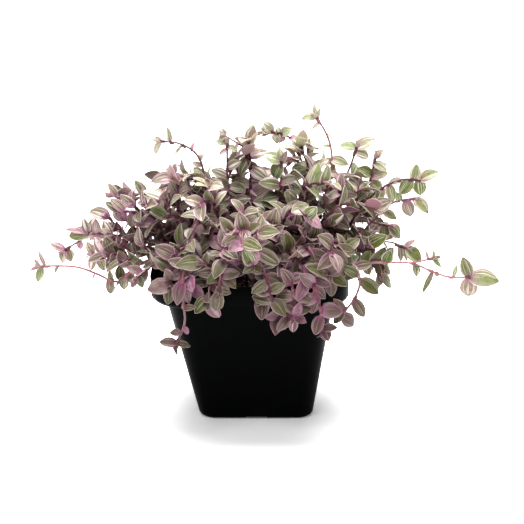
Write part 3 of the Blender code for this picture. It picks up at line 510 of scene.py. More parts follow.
# Stems that show one by one: their routes from the soil outwards in millimetres, and their leaves as
# (percent of the way along, angle in the front view, millimetres long as seen there, tenths of the usual
# width, where it isn't ten).
PLACED = {
    "far_left": (
        ((-33, -16), (-44, -22, 84), (-57, -26, 85), (-66, -28, 77), (-72, -28, 75), (-82, -26, 79),
         (-92, -25, 82), (-100, -24, 82), (-107, -23, 82), (-110, -22, 81)),
        ((100, 119, 5, 6), (99, 256, 8.5, 8), (97, 108, 9, 4), (90, 240, 5, 6), (71, 245, 4, 5),
         (63, 272, 8, 9), (62, 98, 5), (57, 92, 7, 12), (54, 262, 8), (53, 325, 6, 12), (48, 60, 7, 8)),
    ),
    "left_low": (
        ((-36, -9), (-48, -14, 86), (-60, -17, 84), (-70, -15, 85), (-78, -13, 86), (-84, -11, 84)),
        ((100, 125, 7), (98, 258, 9, 9), (94, 282, 9), (91, 112, 9, 11), (85, 98, 9, 11), (82, 246, 9, 9),
         (79, 278, 5, 9), (75, 125, 8), (71, 295, 5, 11), (62, 100, 8)),
    ),
    "left_mid": (
        ((-34, -3), (-44, -5, 86), (-55, -6, 90), (-66, -4, 91), (-76, -2, 92), (-87, 0, 92)),
        ((100, 112, 8, 9), (98, 82, 9, 9), (99, 199, 11, 11), (100, 173, 12, 4), (93, 103, 8, 9),
         (92, 15, 6, 12), (88, 285, 9, 11), (78, 255, 8), (74, 112, 6, 8), (70, 62, 6, 11), (62, 280, 8)),
    ),
    "left_pink": (
        ((-27, -9), (-38, -8, 90), (-49, -10, 101), (-56, -12, 106), (-63, -11, 107), (-70, -10, 107)),
        ((100, 140, 8), (96, 128, 9, 9), (98, 250, 5, 8), (90, 267, 8), (76, 238, 9, 9), (72, 75, 6, 9),
         (62, 285, 8), (56, 100, 8)),
    ),
    "left_shoulder": (
        ((-30, 1), (-42, 2, 90), (-46, 1, 103), (-50, 0, 113), (-56, -2, 114), (-65, -3, 110),
         (-71, -1, 112), (-74, 0, 112)),
        ((100, 175, 4, 11), (97, 123, 8, 8), (93, 300, 5), (88, 142, 6, 8), (87, 100, 5, 11),
         (85, 268, 6, 8), (78, 125, 9, 9), (76, 262, 6, 12), (60, 200, 8)),
    ),
    "left_rise": (
        ((-24, -3), (-34, -3, 92), (-40, -3, 105), (-42, -1, 115), (-42, 1, 124)),
        ((100, 88, 5, 11), (100, 148, 5, 12), (97, 179, 12, 9), (98, 345, 5, 11), (90, 192, 9, 11),
         (93, 325, 8, 12), (74, 20, 8), (66, 205, 8, 11)),
    ),
    "upper_left": (
        ((-20, 0), (-23, 1, 96), (-27, 2, 124), (-32, 3, 136), (-37, 4, 138), (-44, 4, 140), (-49, 5, 140)),
        ((100, 135, 4, 9), (100, 239, 7.5, 8), (95, 92, 8.5, 6), (88, 236, 6.5, 4), (82, 84, 5, 6),
         (75, 60, 5, 9), (72, 160, 5), (66, 250, 8), (60, 20, 8)),
    ),
    "crown_left": (
        ((-9, 1), (-10, 2, 98), (-14, 6, 113), (-15, 9, 122), (-15, 11, 130), (-15, 12, 137)),
        ((100, 162, 6, 12), (100, 10, 6), (98, 338, 6, 9), (96, 204, 5, 9), (78, 238, 8, 9), (70, 320, 7),
         (60, 160, 8), (52, 20, 9)),
    ),
    "crown_mid": (
        ((-2, 3), (-3, 4, 98), (-3, 10, 112), (-3, 13, 122), (-3, 14, 128), (-4, 15, 134)),
        ((100, 84, 10, 5), (100, 60, 9, 5), (96, 12, 6, 13), (93, 236, 10), (90, 300, 7, 12), (66, 10, 9),
         (58, 200, 9)),
    ),
    "crown_back": (
        ((14, 8), (20, 9, 98), (24, 12, 110), (25, 16, 119), (23, 19, 127), (21, 20, 133), (17, 21, 138),
         (12, 22, 140), (7, 22, 141)),
        ((100, 160, 5, 16), (99, 205, 6, 6), (94, 268, 5, 18), (95, 85, 4, 14), (88, 8, 5, 12),
         (79, 112, 8, 8), (77, 68, 6, 8), (72, 20, 4), (66, 200, 8), (58, 340, 9)),
    ),
    "crown_sage": (
        ((8, -1), (10, 0, 100), (12, 3, 114), (13, 5, 122), (13, 6, 129)),
        ((100, 157, 9, 12), (98, 253, 9, 14), (100, 95, 7, 9), (99, 68, 7, 8), (99, 3, 6), (74, 190, 9, 11),
         (64, 350, 9, 11)),
    ),
    "crown_right": (
        ((19, -2), (24, 1, 99), (26, 4, 113), (26, 6, 121), (27, 7, 127), (28, 7, 130), (27, 7, 132)),
        ((100, 92, 5, 8), (100, 66, 6, 8), (92, 180, 8, 9), (90, 204, 7, 12), (92, 6, 8, 11), (89, 325, 6),
         (72, 160, 8), (66, 330, 9)),
    ),
    "top_right": (
        ((20, 6), (31, 5, 94), (38, 4, 122), (39, 6, 131), (38, 8, 137), (36, 9, 143), (31, 10, 151)),
        ((100, 190, 8, 9), (100, 97, 7, 6), (99, 76, 6.5, 5), (97, 219, 5.5, 6), (89, 15, 4, 8),
         (83, 178, 4, 8), (76, 340, 9), (76, 205, 5, 11), (69, 335, 5, 12)),
    ),
    "right_top": (
        ((28, 0), (36, 1, 90), (42, 3, 112), (46, 5, 120), (50, 9, 129), (52, 11, 135)),
        ((100, 173, 8.5), (100, 19, 10.5), (97, 335, 8, 12), (80, 168, 4, 8), (77, 286, 10, 12),
         (70, 200, 8), (64, 340, 8)),
    ),
    "right_back": (
        ((33, 10), (44, 11, 98), (56, 13, 103), (59, 14, 108), (60, 16, 117), (62, 16, 128)),
        ((100, 40, 6, 11), (97, 338, 7.5, 11), (92, 22, 7.5), (88, 148, 8.5, 12), (87, 3, 9, 11),
         (84, 318, 9, 11), (80, 284, 10), (79, 222, 8)),
    ),
    "right_pink": (
        ((27, -8), (35, -10, 88), (40, -9, 102), (42, -8, 112), (43, -8, 118)),
        ((100, 82, 8), (100, 285, 10, 12), (97, 205, 7), (93, 10, 9), (90, 250, 9, 11), (80, 150, 9),
         (74, 335, 9, 11), (68, 235, 9)),
    ),
    "right_upper": (
        ((35, 2), (50, 3, 98), (63, 3, 114), (74, 4, 119), (80, 5, 121), (85, 5, 119)),
        ((100, 25, 10, 11), (99, 272, 8, 14), (96, 80, 8.5, 11), (95, 222, 10, 11), (88, 202, 6.5),
         (81, 84, 8, 8), (80, 279, 9), (76, 256, 8.5), (66, 300, 8)),
    ),
    "right_arch": (
        ((36, -12), (42, -15, 84), (52, -17, 93), (56, -14, 99), (61, -12, 104), (69, -10, 111),
         (74, -9, 112), (81, -8, 113)),
        ((100, 316, 10), (99, 294, 7, 6), (94, 283, 9.5, 11), (90, 105, 6), (76, 326, 8.5, 9),
         (70, 316, 7, 9), (58, 300, 8, 12)),
    ),
    "right_mid": (
        ((35, -20), (43, -22, 85), (52, -22, 89), (60, -23, 93), (64, -24, 95), (70, -25, 94),
         (76, -25, 92)),
        ((100, 317, 10, 11), (98, 32, 6.5, 7), (94, 277, 8, 7), (98, 290, 7, 5), (72, 240, 8), (66, 60, 6),
         (58, 130, 8)),
    ),
    "far_right": (
        ((34, -26), (45, -30, 84), (53, -33, 87), (61, -34, 87), (72, -34, 87), (80, -33, 86),
         (88, -32, 82), (96, -31, 79), (104, -30, 76), (108, -30, 78)),
        ((100, 113, 10.5), (100, 4, 14, 11), (100, 266, 11, 13), (91, 70, 7, 5), (79, 248, 11.5, 4),
         (80, 305, 4), (68, 283, 6, 11), (52, 66, 7, 13), (42, 284, 7, 11), (40, 60, 8)),
    ),
    "right_hang": (
        ((36, -32), (45, -42, 88), (50, -48, 88), (51, -54, 84), (49, -58, 78), (45, -60, 72),
         (42, -60, 69)),
        ((100, 308, 10, 11), (99, 150, 10, 9), (97, 125, 8, 9), (98, 235, 7), (86, 307, 10, 9),
         (70, 319, 11.5), (66, 148, 9, 9), (62, 215, 7, 11), (58, 10, 9, 9)),
    ),
    "front_right": (
        ((30, -27), (33, -38, 86), (35, -47, 91), (36, -53, 87)),
        ((100, 147, 13, 8), (100, 338, 10), (99, 35, 9, 12), (98, 284, 12, 8), (86, 150, 12, 11),
         (82, 10, 9)),
    ),
    "front_corner": (
        ((25, -34), (27, -45, 88), (28, -56, 86), (29, -61, 80), (32, -63, 71), (33, -63, 62)),
        ((100, 293, 6, 15), (99, 3, 7), (90, 250, 9, 11), (86, 5, 10, 12), (76, 200, 9, 11),
         (72, 269, 12, 9), (68, 305, 9, 9), (66, 140, 9, 11)),
    ),
    "front_right_low": (
        ((12, -34), (15, -47, 89), (17, -57, 86), (19, -62, 77), (19, -64, 69)),
        ((100, 268, 9, 8), (99, 77, 8, 9), (97, 140, 7, 9), (96, 5, 8), (84, 190, 9, 11), (80, 335, 10, 11),
         (74, 130, 9), (70, 20, 10, 11)),
    ),
    "front_mid": (
        ((0, -34), (2, -48, 90), (5, -58, 87), (7, -62, 82), (8, -63, 77)),
        ((100, 180, 10, 11), (99, 312, 10, 11), (93, 162, 9, 11), (92, 20, 8, 11), (84, 215, 9),
         (78, 330, 10, 11), (72, 150, 10), (66, 20, 10, 11)),
    ),
    "front_hang": (
        ((-15, -34), (-16, -46, 87), (-17, -57, 89), (-18, -62, 85), (-18, -62, 81)),
        ((100, 264, 11), (99, 352, 6), (93, 275, 7, 9), (84, 15, 9), (78, 320, 10), (74, 205, 9)),
    ),
    "front_left": (
        ((-24, -28), (-22, -40, 84), (-23, -49, 92), (-26, -53, 93)),
        ((100, 182, 13), (100, 322, 13, 9), (98, 278, 10, 8), (94, 90, 6), (90, 296, 11, 9), (82, 25, 9)),
    ),
    "left_hang": (
        ((-30, -33), (-33, -46, 89), (-35, -57, 90), (-36, -61, 82), (-35, -62, 72), (-35, -62, 64),
         (-37, -63, 59), (-39, -63, 55)),
        ((100, 184, 8), (100, 340, 7, 8), (100, 262, 4, 12), (93, 190, 5.5, 11), (89, 302, 5, 9),
         (77, 5, 6, 9), (62, 285, 10, 9), (60, 262, 12, 9), (55, 277, 11, 9), (48, 170, 9)),
    ),
    "left_corner": (
        ((-36, -28), (-40, -40, 86), (-42, -50, 88), (-41, -55, 85), (-42, -56, 83)),
        ((100, 181, 11, 12), (99, 266, 10), (96, 110, 8), (90, 20, 8), (80, 150, 10, 11), (72, 60, 9)),
    ),
    "left_front": (
        ((-38, -22), (-47, -32, 86), (-54, -40, 86), (-57, -43, 85), (-59, -45, 83)),
        ((100, 240, 6), (97, 292, 7, 9), (92, 150, 8), (86, 258, 8, 9), (76, 25, 8), (70, 105, 8)),
    ),
}

# A side twig of such a stem: (percent of the way along, angle, millimetres long, its leaves)
PLACED_TWIGS = {
    "left_mid": (98, 211, 16, ((100, 147, 8, 9), (100, 256, 7), (93, 283, 7, 12), (45, 280, 5, 11))),
    "crown_mid": (98, 145, 15, ((100, 120, 4, 12), (100, 215, 4, 12), (50, 20, 4, 6))),
    "right_arch": (66, 352, 9, ((100, 308, 10, 11), (72, 272, 8, 12))),
    "far_right": (66, 17, 11, ((100, 95, 5, 6), (78, 100, 5, 5), (100, 308, 6, 6))),
}


def clamp(value):
    return min(max(value, 0), 1)


def square_to(direction, wish):
    """The part of a wished direction that is square to another one."""
    part = wish - direction * wish.dot(direction)
    return part.normalized() if part.length > TINY else direction.orthogonal().normalized()


def opened(stalk, around, opening):
    """The way out from a stalk at this turn round it, and a direction opened that far from the stalk."""
    side = square_to(stalk, UP)
    away = side * math.cos(around) + stalk.cross(side) * math.sin(around)
    return away, stalk * math.cos(opening) + away * math.sin(opening)


def outward_at(point):
    """Which way is out of the plant here, flatter than straight away from the middle of the soil."""
    return Vector((point.x, point.y, (point.z - SOIL_TOP) * OUTWARD_RISE)).normalized()


class Route:
    """A stalk's line: a smooth curve through a few points, read as a chain of straight steps."""

    def __init__(self, corners, root=None):
        before = root or corners[0] * 2 - corners[1]
        ends = [before, *corners, corners[-1] * 2 - corners[-2]]
        fine = []
        for a, b, c, d in zip(ends, ends[1:], ends[2:], ends[3:]):
            for step in range(CURVE_STEPS):
                s = step / CURVE_STEPS
                bend = (a * 2 - b * 5 + c * 4 - d) * s**2
                twist = (b * 3 - a - c * 3 + d) * s**3
                fine.append((b * 2 + (c - a) * s + bend + twist) / 2)
        fine.append(corners[-1])
        self.points = fine
        count = max(2, round(self.length() / ROUTE_STEP))
        self.points = [self.at(k / count)[0] for k in range(count + 1)]
        if root:
            self.points.insert(0, root)

    def length(self):
        return sum((b - a).length for a, b in zip(self.points, self.points[1:]))

    def at(self, share):
        """The point at this share of the length, and the direction there."""
        reach = clamp(share) * self.length()
        for a, b in zip(self.points, self.points[1:]):
            step = (b - a).length
            if reach <= step or b is self.points[-1]:
                break
            reach -= step
        return a.lerp(b, min(reach / step, 1)), (b - a).normalized()


def rooted(flat, depth):
    """A place by its distance from the pot's axis, moved to the leaning pot and down into the soil."""
    return Vector((flat.x + lean_at(SOIL_TOP), flat.y, SOIL_TOP - depth))


def route_from(root, *points):
    """A route that leaves the soil straight up in a collar."""
    return Route([Vector((root.x, root.y, SOIL_TOP + COLLAR)), *points], root=root)


def stalk_tree(points):
    """What tests a stalk against others: a four-sided sleeve round it, wide enough to hold it with a gap."""
    sleeve = (STALK_RADIUS + STALK_GAP) * math.sqrt(2)
    verts = []
    for k, point in enumerate(points):
        along = (points[min(k + 1, len(points) - 1)] - points[max(k - 1, 0)]).normalized()
        side = square_to(along, ANY_SIDE)
        other = along.cross(side)
        verts += [point + reach * sleeve for reach in (side, other, -side, -other)]
    faces = []
    for k in range(len(points) - 1):
        for side in range(4):
            turn = (side + 1) % 4
            faces.append((k * 4 + side, k * 4 + turn, k * 4 + 4 + turn, k * 4 + 4 + side))
    return BVHTree.FromPolygons(verts, faces)


def blade_points(leaf, grow=0.0):
    """A keeled blade as eight points: its root, left, right and ridge below on two rings, and its tip."""
    across = leaf.along.cross(leaf.face)
    points = [leaf.base - leaf.along * LEAF_SUNK]
    for share, width in BLADE_RINGS:
        half = leaf.width * width / 2
        middle = leaf.base + leaf.along * leaf.length * share + leaf.face * leaf.length * ARCH
        edge_lift = leaf.face * (half * KEEL + grow)
        points += [
            middle - across * (half + grow) + edge_lift,
            middle + across * (half + grow) + edge_lift,
            middle + leaf.face * (half * KEEL - LEAF_RIDGE - grow),
        ]
    points.append(leaf.base + leaf.along * (leaf.length + grow))
    return points


def blade_tree(leaf, grow=0.0):
    """What tests a leaf against others: the triangles of its blade, which may be a little larger."""
    faces = []
    for side in range(3):
        a, b, c, d = 1 + side, 1 + (side + 1) % 3, 4 + (side + 1) % 3, 4 + side
        faces += [(0, b, a), (a, b, c), (a, c, d), (7, d, c)]
    return BVHTree.FromPolygons(blade_points(leaf, grow), faces)


def clears_pot(points, room):
    """Whether a chain of points stays off the pot and the soil, sampled between them as well."""
    for a, b in zip(points, points[1:]):
        for step in range(POT_TESTS + 1):
            point = a.lerp(b, step / POT_TESTS)
            out = max(abs(point.x - lean_at(POT_HEIGHT)), abs(point.y))
            over_rim = point.z > POT_HEIGHT + room
            outside = out > RIM_HALF + room
            in_mouth = out < WALL_TOP_HALF - POT_WALL - room and point.z > SOIL_TOP + SOIL_ROOM
            if not (over_rim or outside or in_mouth):
                return False
    return True


class Plant:
    """The plant as it is laid out, one stalk or leaf after the other, each clear of those before."""

    def __init__(self):
        self.draw = random.Random(SEED)
        self.routes = {}
        self.stalk_trees = {}
        self.leaves = {}
        self.cells = {}

    def add_stalk(self, name, route):
        """A new stem's stalk, or a twig of one that stands already."""
        self.routes.setdefault(name, []).append(route)
        self.stalk_trees.setdefault(name, []).append(stalk_tree(route.points))
        self.leaves.setdefault(name, [])

    def meets_stalks(self, tree, own):
        """Whether this meets a stalk of any stem but its own."""
        stems = (stalks for name, stalks in self.stalk_trees.items() if name != own)
        return any(tree.overlap(stalk) for stalks in stems for stalk in stalks)

    def route_is_clear(self, route, own=None):
        """Whether a new stem stays off everything, or a twig off all but the stem that is its own."""
        points = route.points if own else route.points[1:]
        room = RIM_GAP + STALK_RADIUS
        return clears_pot(points, room) and not self.meets_stalks(stalk_tree(route.points), own)

    def cell_of(self, leaf):
        middle = (leaf.base + leaf.along * leaf.length / 2) / CELL
        return tuple(math.floor(part) for part in middle)

    def leaf_is_clear(self, name, leaf):
        points = blade_points(leaf, LEAF_GAP)
        if not clears_pot([points[k] for k in (1, 4, 7, 5, 2, 1)], RIM_GAP):
            return False
        tree = blade_tree(leaf, LEAF_GAP)
        for cell in product(*((k - 1, k, k + 1) for k in self.cell_of(leaf))):
            for other, whole, outer in self.cells.get(cell, ()):
                if tree.overlap(outer if other == name else whole):
                    return False
        return not self.meets_stalks(tree, name)

    def keep_leaf(self, name, leaf):
        self.leaves[name].append(leaf)
        sunk = leaf.length * ROOT_SHARE
        outer = leaf._replace(base=leaf.base + leaf.along * sunk, length=leaf.length - sunk)
        near = self.cells.setdefault(self.cell_of(leaf), [])
        near.append((name, blade_tree(leaf), blade_tree(outer)))

    def try_leaves(self, name, candidates):
        """Keeps the first candidate that touches nothing, or the same ones shorter."""
        for size in (1.0, SHORT_LEAF):
            for leaf in candidates:
                smaller = leaf._replace(length=leaf.length * size, width=leaf.width * size)
                if self.leaf_is_clear(name, smaller):
                    self.keep_leaf(name, smaller)
                    return

    def placed_leaf(self, name, route, percent, angle, millimetres, tenths=10):
        """A leaf set by its angle in the front view, turned a little until it is clear."""
        base = route.at(percent / 100)[0]
        length = millimetres / 1000 * SEEN_TO_REAL
        width = length * PLACED_LEAF_SLIMNESS * (tenths / 10)
        candidates = []
        for _ in range(LEAF_TRIES):
            turn = math.radians(angle + self.draw.uniform(-PLACED_TURN, PLACED_TURN))
            lean = self.draw.uniform(*PLACED_LEAN)
            along = Vector((math.cos(turn), -lean, math.sin(turn))).normalized()
            wish = Vector((self.draw.uniform(-PLACED_FACE_PLAY, PLACED_FACE_PLAY), *PLACED_FACE))
            candidates.append(Leaf(base, along, square_to(along, wish), length, width))
        self.try_leaves(name, candidates)

    def rule_leaf(self, name, route, share, turn, openings, tries, sizes=RULE_SIZES, play=0):
        """A leaf that opens away from its stalk and faces up and outwards, with some play."""
        base, stalk = route.at(share)
        outward = outward_at(base)
        candidates = []
        for _ in range(tries):
            around = turn + self.draw.uniform(-TURN_PLAY, TURN_PLAY)
            opening = math.radians(self.draw.uniform(*openings))
            along = (opened(stalk, around, opening)[1] + outward * OUTWARD_PULL).normalized()
            wish = stalk * FACE_ALONG + outward * FACE_OUT + UP * FACE_UP
            if play:
                wish += Vector([self.draw.gauss(0, play) for _ in range(3)])
            length = LEAF_LENGTH * self.draw.uniform(*sizes)
            width = length * self.draw.uniform(*RULE_LEAF_SLIMNESS)
            candidates.append(Leaf(base, along, square_to(along, wish), length, width))
        self.try_leaves(name, candidates)

    def rule_leaves(self, name, route, start, end):
        """Leaves that alternate along a route."""
        first_side = self.draw.uniform(0, math.tau)
        shares = []
        length = route.length()
        reach = start * length
        while reach < end * length - LEAF_SPACING * LAST_SPACING:
            shares.append(reach / length)
            reach += LEAF_SPACING * self.draw.uniform(*SPACING_PLAY)
        if end == 1:
            shares += TIP_SHARES
        for order, share in enumerate(shares):
            openings = TIP_OPENING if share in TIP_SHARES else SIDE_OPENING
            self.rule_leaf(name, route, share, first_side + order * LEAF_TURN, openings, LEAF_TRIES)


def in_metres(point):
    """A route's point in metres; the first has no height of its own and stands in the soil."""
    x, y = point[0] / 1000, point[1] / 1000
    return Vector((x, y, point[2] / 1000 if len(point) == 3 else SOIL_TOP + COLLAR))


def first_leaf(name):
    """How far along a placed stem its lowest leaf grows."""
    return min(leaf[0] for leaf in PLACED[name][1]) / 100


def compass(angle):
    """A flat direction, and how much further a square reaches that way than straight at a side."""
    direction = Vector((math.cos(angle), math.sin(angle), 0))
    return direction, 1 / max(abs(direction.x), abs(direction.y))


def shoulder_drop(x):
    """How much lower the leafy dome is here than an even one: its left shoulder slopes more."""
    return SHOULDER_DROP * max(SHOULDER_FROM - x, 0)


def rule_route(order):
    """A stem's route by rule: up from the soil, then arching out to its own spot on the leafy dome."""
    share = (order + 0.5) / RULE_STEMS
    polar = math.acos(1 - share * (1 - math.cos(DOME_REACH)))
    lift = SIDE_LIFT * math.sin(polar)
    for attempt in range(ROUTE_TRIES):
        spread = plant.draw.uniform(-TIP_SPREAD, TIP_SPREAD) * (1 + attempt / SPREAD_TRIES)
        reach = plant.draw.uniform(*TIP_REACH)
        direction, squareness = compass(order * GOLDEN_ANGLE + spread)
        tip = DOME_CENTRE + Vector(
            (
                DOME_RADII.x * math.sin(polar) * direction.x,
                DOME_RADII.y * math.sin(polar) * direction.y,
                DOME_RADII.z * math.cos(polar),
            )
        ) * reach
        tip.z -= shoulder_drop(tip.x) * max(math.cos(polar), 0)
        root_reach = ROOT_SPREAD * squareness**ROOT_SQUARENESS * (polar / DOME_REACH) ** ROOT_CROWDING
        root = rooted(direction * root_reach * plant.draw.uniform(*ROOT_REACH), ROOT_DEPTH)
        over = root.lerp(tip, OVER_SHARE)
        over.z = SOIL_TOP + max((tip.z - SOIL_TOP) * OVER_RISE, LEAST_RISE) + lift
        bow = root.lerp(tip, BOW_SHARE)
        bow.z = mix(over.z, tip.z, BOW_RISE) + lift
        route = route_from(root, over, bow, tip)
        if plant.route_is_clear(route):
            return route
    return None


plant = Plant()
for name, (route, _) in PLACED.items():
    corners = [in_metres(point) for point in route]
    main = Route(corners, root=corners[0] - Vector((0, 0, ROOT_DEPTH + COLLAR)))
    plant.add_stalk(name, main)
    if name in PLACED_TWIGS:
        percent, angle, length, _ = PLACED_TWIGS[name]
        turn = math.radians(angle)
        start = main.at(percent / 100)[0]
        reach = Vector((math.cos(turn), TWIG_LEAN, math.sin(turn))) * length / 1000
        plant.add_stalk(name, Route([start, start + reach * 0.5, start + reach]))
for order in range(CROWN_STEMS, RULE_STEMS):
    route = rule_route(order)
    if route:
        plant.add_stalk(f"{order + 1:02d}", route)
for name, (_, leaves) in PLACED.items():
    twig_leaves = PLACED_TWIGS[name][3] if name in PLACED_TWIGS else ()
    for route, grown in zip(plant.routes[name], (leaves, twig_leaves)):
        for leaf in grown:
            plant.placed_leaf(name, route, *leaf)
for name, routes in plant.routes.items():
    end = first_leaf(name) - BARE_BELOW_PLACED if name in PLACED else 1
    plant.rule_leaves(name, routes[0], LEAFY_FROM, end)


# The fuller growth
# A living plant has far more leaves than the solids hold. They fill the room on the same stems, on side
# twigs and on short shoots that rise from the soil, and each is turned clear of what is there already.

FULL_SEED = 23
FULL_SPACING = 0.0047
FULL_FROM = 0.20
FULL_TO = 0.96
FULL_BELOW_PLACED = 0.03
LEAF_ROOM = 0.0024
FULL_TRIES = 7
FULL_SIZES = (0.62, 1.16)
FULL_PLAY = 0.35

# Young leaves that wrap the end of a shoot, each set a little lower than the one before
BUD_LEAVES = 3
BUD_LENGTHS = (0.0038, 0.0062)
BUD_OPENINGS = (8, 34)
BUD_STEP = 0.0004
BUD_SLIMNESS = 0.42

# Twigs: where they grow on their stalk, and how far they turn along it, away from it, outwards and up.
# They end in the rounded mass of leaves, which reaches further at the crown and the left shoulder.
TWIGS = 3
CROWN_TWIGS = 5
TWIG_LENGTHS = (0.008, 0.016)
TWIG_SHARES = (0.30, 0.94)
PLACED_TWIG_SHARES = (0.25, 0.62)
TWIG_ALONG = 0.4
TWIG_AWAY = 0.9
TWIG_OUT = 0.6
TWIG_UP = 0.3
TWIG_BOW = (-0.0008, 0.0016)
TWIG_SPACING = 0.0042
LEAFY_SHOOT_FROM = 0.35
LEAFY_TWIG_TO = 0.8
DOME_LIMIT = 1.04
CROWN_LIMIT = 1.13
SHOULDER_LIMIT = 1.25
SHOULDER_STEMS = ("left_rise", "left_shoulder", "left_mid", "left_pink", "left_low")

# Low shoots, from near the middle of the soil to the rim, which the outer ones pass
SHOOTS = 46
SHOOT_ZONES = 6
SHOOT_SHARES = (0.25, 1)
SHOOT_DEPTH = 0.001
SHOOT_LEAST_REACH = 0.022
SHOOT_TIPS = (0.046, 0.062)
SHOOT_SQUARENESS = 0.5
SHOOT_HEIGHTS = (0.074, 0.100)
SHOOT_RISE = 0.012
SHOOT_BEND = 0.55
SHOOT_ARCH = 0.004
LEAFY_SHOOT_TO = 0.9

# The photo shows no twigs left of the crown, and more of them and more leaves on the upper stalks. The
# leaves are given as the placed ones are.
BARE_STEM = "crown_left"
BARE_RIGHT = -0.0175
BARE_LOW = 0.126
UPPER_LEFT_TWIGS = 6
UPPER_LEFT_SHARES = (0.42, 0.64)
CROWN_LEAVES = {
    "crown_mid": (
        (93, 22, 10, 9), (86, 338, 11), (79, 12, 12), (72, 350, 12), (66, 25, 12), (84, 196, 10),
        (74, 170, 10),
    ),
    "crown_sage": (
        (90, 200, 11), (82, 160, 11), (74, 150, 12), (66, 172, 12), (60, 190, 11), (84, 20, 9),
    ),
    "crown_left": (
        (84, 25, 8), (78, 165, 9), (72, 345, 9), (66, 195, 11), (60, 15, 10), (70, 150, 11), (62, 165, 12),
    ),
    "crown_back": (
        (98.5, 140, 6.5, 13), (93, 35, 6.5, 13), (97, 290, 6, 12),
    ),
    "upper_left": (
        (62, 128, 10, 9), (57, 100, 11, 9), (52, 60, 10), (56, 205, 9), (47, 20, 10), (66, 345, 10),
        (60, 40, 11), (64, 165, 10), (55, 20, 11), (53, 150, 11),
    ),
}


def dome_share(off):
    """How far out a place is that lies this far off the dome's centre: 1 is on the dome."""
    return Vector((off.x / DOME_RADII.x, off.y / DOME_RADII.y, off.z / DOME_RADII.z)).length


def in_dome(point, limit):
    return dome_share(point - DOME_CENTRE + Vector((0, 0, shoulder_drop(point.x)))) < limit


def fill_leaves(name, route, start, end, spacing):
    """Leaves between those that grow on a route already."""
    length = route.length()
    turn = plant.draw.uniform(0, math.tau)
    reach = start * length
    while reach < end * length:
        share = reach / length
        base = route.at(share)[0]
        if all((base - leaf.base).length > LEAF_ROOM for leaf in plant.leaves[name]):
            plant.rule_leaf(name, route, share, turn, SIDE_OPENING, FULL_TRIES, FULL_SIZES, FULL_PLAY)
        turn += LEAF_TURN
        reach += spacing * plant.draw.uniform(*SPACING_PLAY)


def fill_bud(name, route):
    end, stalk = route.at(1)
    turn = plant.draw.uniform(0, math.tau)
    for number in range(BUD_LEAVES):
        around = turn + number * math.tau / BUD_LEAVES
        away, along = opened(stalk, around, math.radians(plant.draw.uniform(*BUD_OPENINGS)))
        length = plant.draw.uniform(*BUD_LENGTHS)
        base = end - stalk * BUD_STEP * number
        face = square_to(along, stalk - away)
        plant.keep_leaf(name, Leaf(base, along, face, length, length * BUD_SLIMNESS))


def add_shoot(name, route, leafy_to):
    """A shoot with leaves along it, two that spread near its end, and its bud."""
    plant.add_stalk(name, route)
    fill_leaves(name, route, LEAFY_SHOOT_FROM, leafy_to, TWIG_SPACING)
    for share in TIP_SHARES:
        plant.rule_leaf(name, route, share, plant.draw.uniform(0, math.tau), TIP_OPENING, FULL_TRIES)
    fill_bud(name, route)


def fill_twigs(name, twigs, shares, limit):
    """Short side twigs with leaves of their own."""
    for _ in range(twigs):
        start, stalk = plant.routes[name][0].at(plant.draw.uniform(*shares))
        for _ in range(FULL_TRIES):
            away = square_to(stalk, Vector([plant.draw.gauss(0, 1) for _ in range(3)]))
            reach = stalk * TWIG_ALONG + away * TWIG_AWAY + outward_at(start) * TWIG_OUT + UP * TWIG_UP
            reach = reach.normalized() * plant.draw.uniform(*TWIG_LENGTHS)
            bow = Vector((0, 0, plant.draw.uniform(*TWIG_BOW)))
            route = Route([start, start + reach * 0.5 + bow, start + reach])
            if in_dome(start + reach, limit) and plant.route_is_clear(route, own=name):
                add_shoot(name, route, LEAFY_TWIG_TO)
                break


def in_bare_spot(point):
    return point.x < BARE_RIGHT and point.z > BARE_LOW


plant.draw = random.Random(FULL_SEED)
laid = list(plant.routes)
for name in laid:
    end = first_leaf(name) - FULL_BELOW_PLACED if name in PLACED else FULL_TO
    fill_leaves(name, plant.routes[name][0], FULL_FROM, end, FULL_SPACING)
    for route in plant.routes[name]:
        fill_bud(name, route)
for name in laid:
    if name in SHOULDER_STEMS:
        fill_twigs(name, CROWN_TWIGS, TWIG_SHARES, SHOULDER_LIMIT)
    elif name.startswith("crown"):
        fill_twigs(name, CROWN_TWIGS, TWIG_SHARES, CROWN_LIMIT)
    else:
        fill_twigs(name, TWIGS, PLACED_TWIG_SHARES if name in PLACED else TWIG_SHARES, DOME_LIMIT)
for order in range(SHOOTS):
    direction, squareness = compass(order * GOLDEN_ANGLE)
    for _ in range(FULL_TRIES):
        share = plant.draw.uniform(*SHOOT_SHARES)
        root = rooted(direction * ROOT_SPREAD * squareness**ROOT_SQUARENESS * share, SHOOT_DEPTH)
        reach = mix(SHOOT_LEAST_REACH, plant.draw.uniform(*SHOOT_TIPS), share)
        tip = direction * reach * squareness**SHOOT_SQUARENESS
        tip.x += lean_at(POT_HEIGHT)
        tip.z = plant.draw.uniform(*SHOOT_HEIGHTS) + (1 - share) * SHOOT_RISE
        over = root.lerp(tip, SHOOT_BEND)
        over.z = max(tip.z, POT_HEIGHT) + SHOOT_ARCH + SHOOT_ARCH * share
        route = route_from(root, over, tip)
        if plant.route_is_clear(route):
            add_shoot(f"low_{order % SHOOT_ZONES + 1}_{order + 1:02d}", route, LEAFY_SHOOT_TO)
            break
for name, leaves in CROWN_LEAVES.items():
    for leaf in leaves:
        plant.placed_leaf(name, plant.routes[name][0], *leaf)
fill_twigs("upper_left", UPPER_LEFT_TWIGS, UPPER_LEFT_SHARES, CROWN_LIMIT)
plant.routes[BARE_STEM] = [
    route for route in plant.routes[BARE_STEM] if not in_bare_spot(route.points[-1])
]
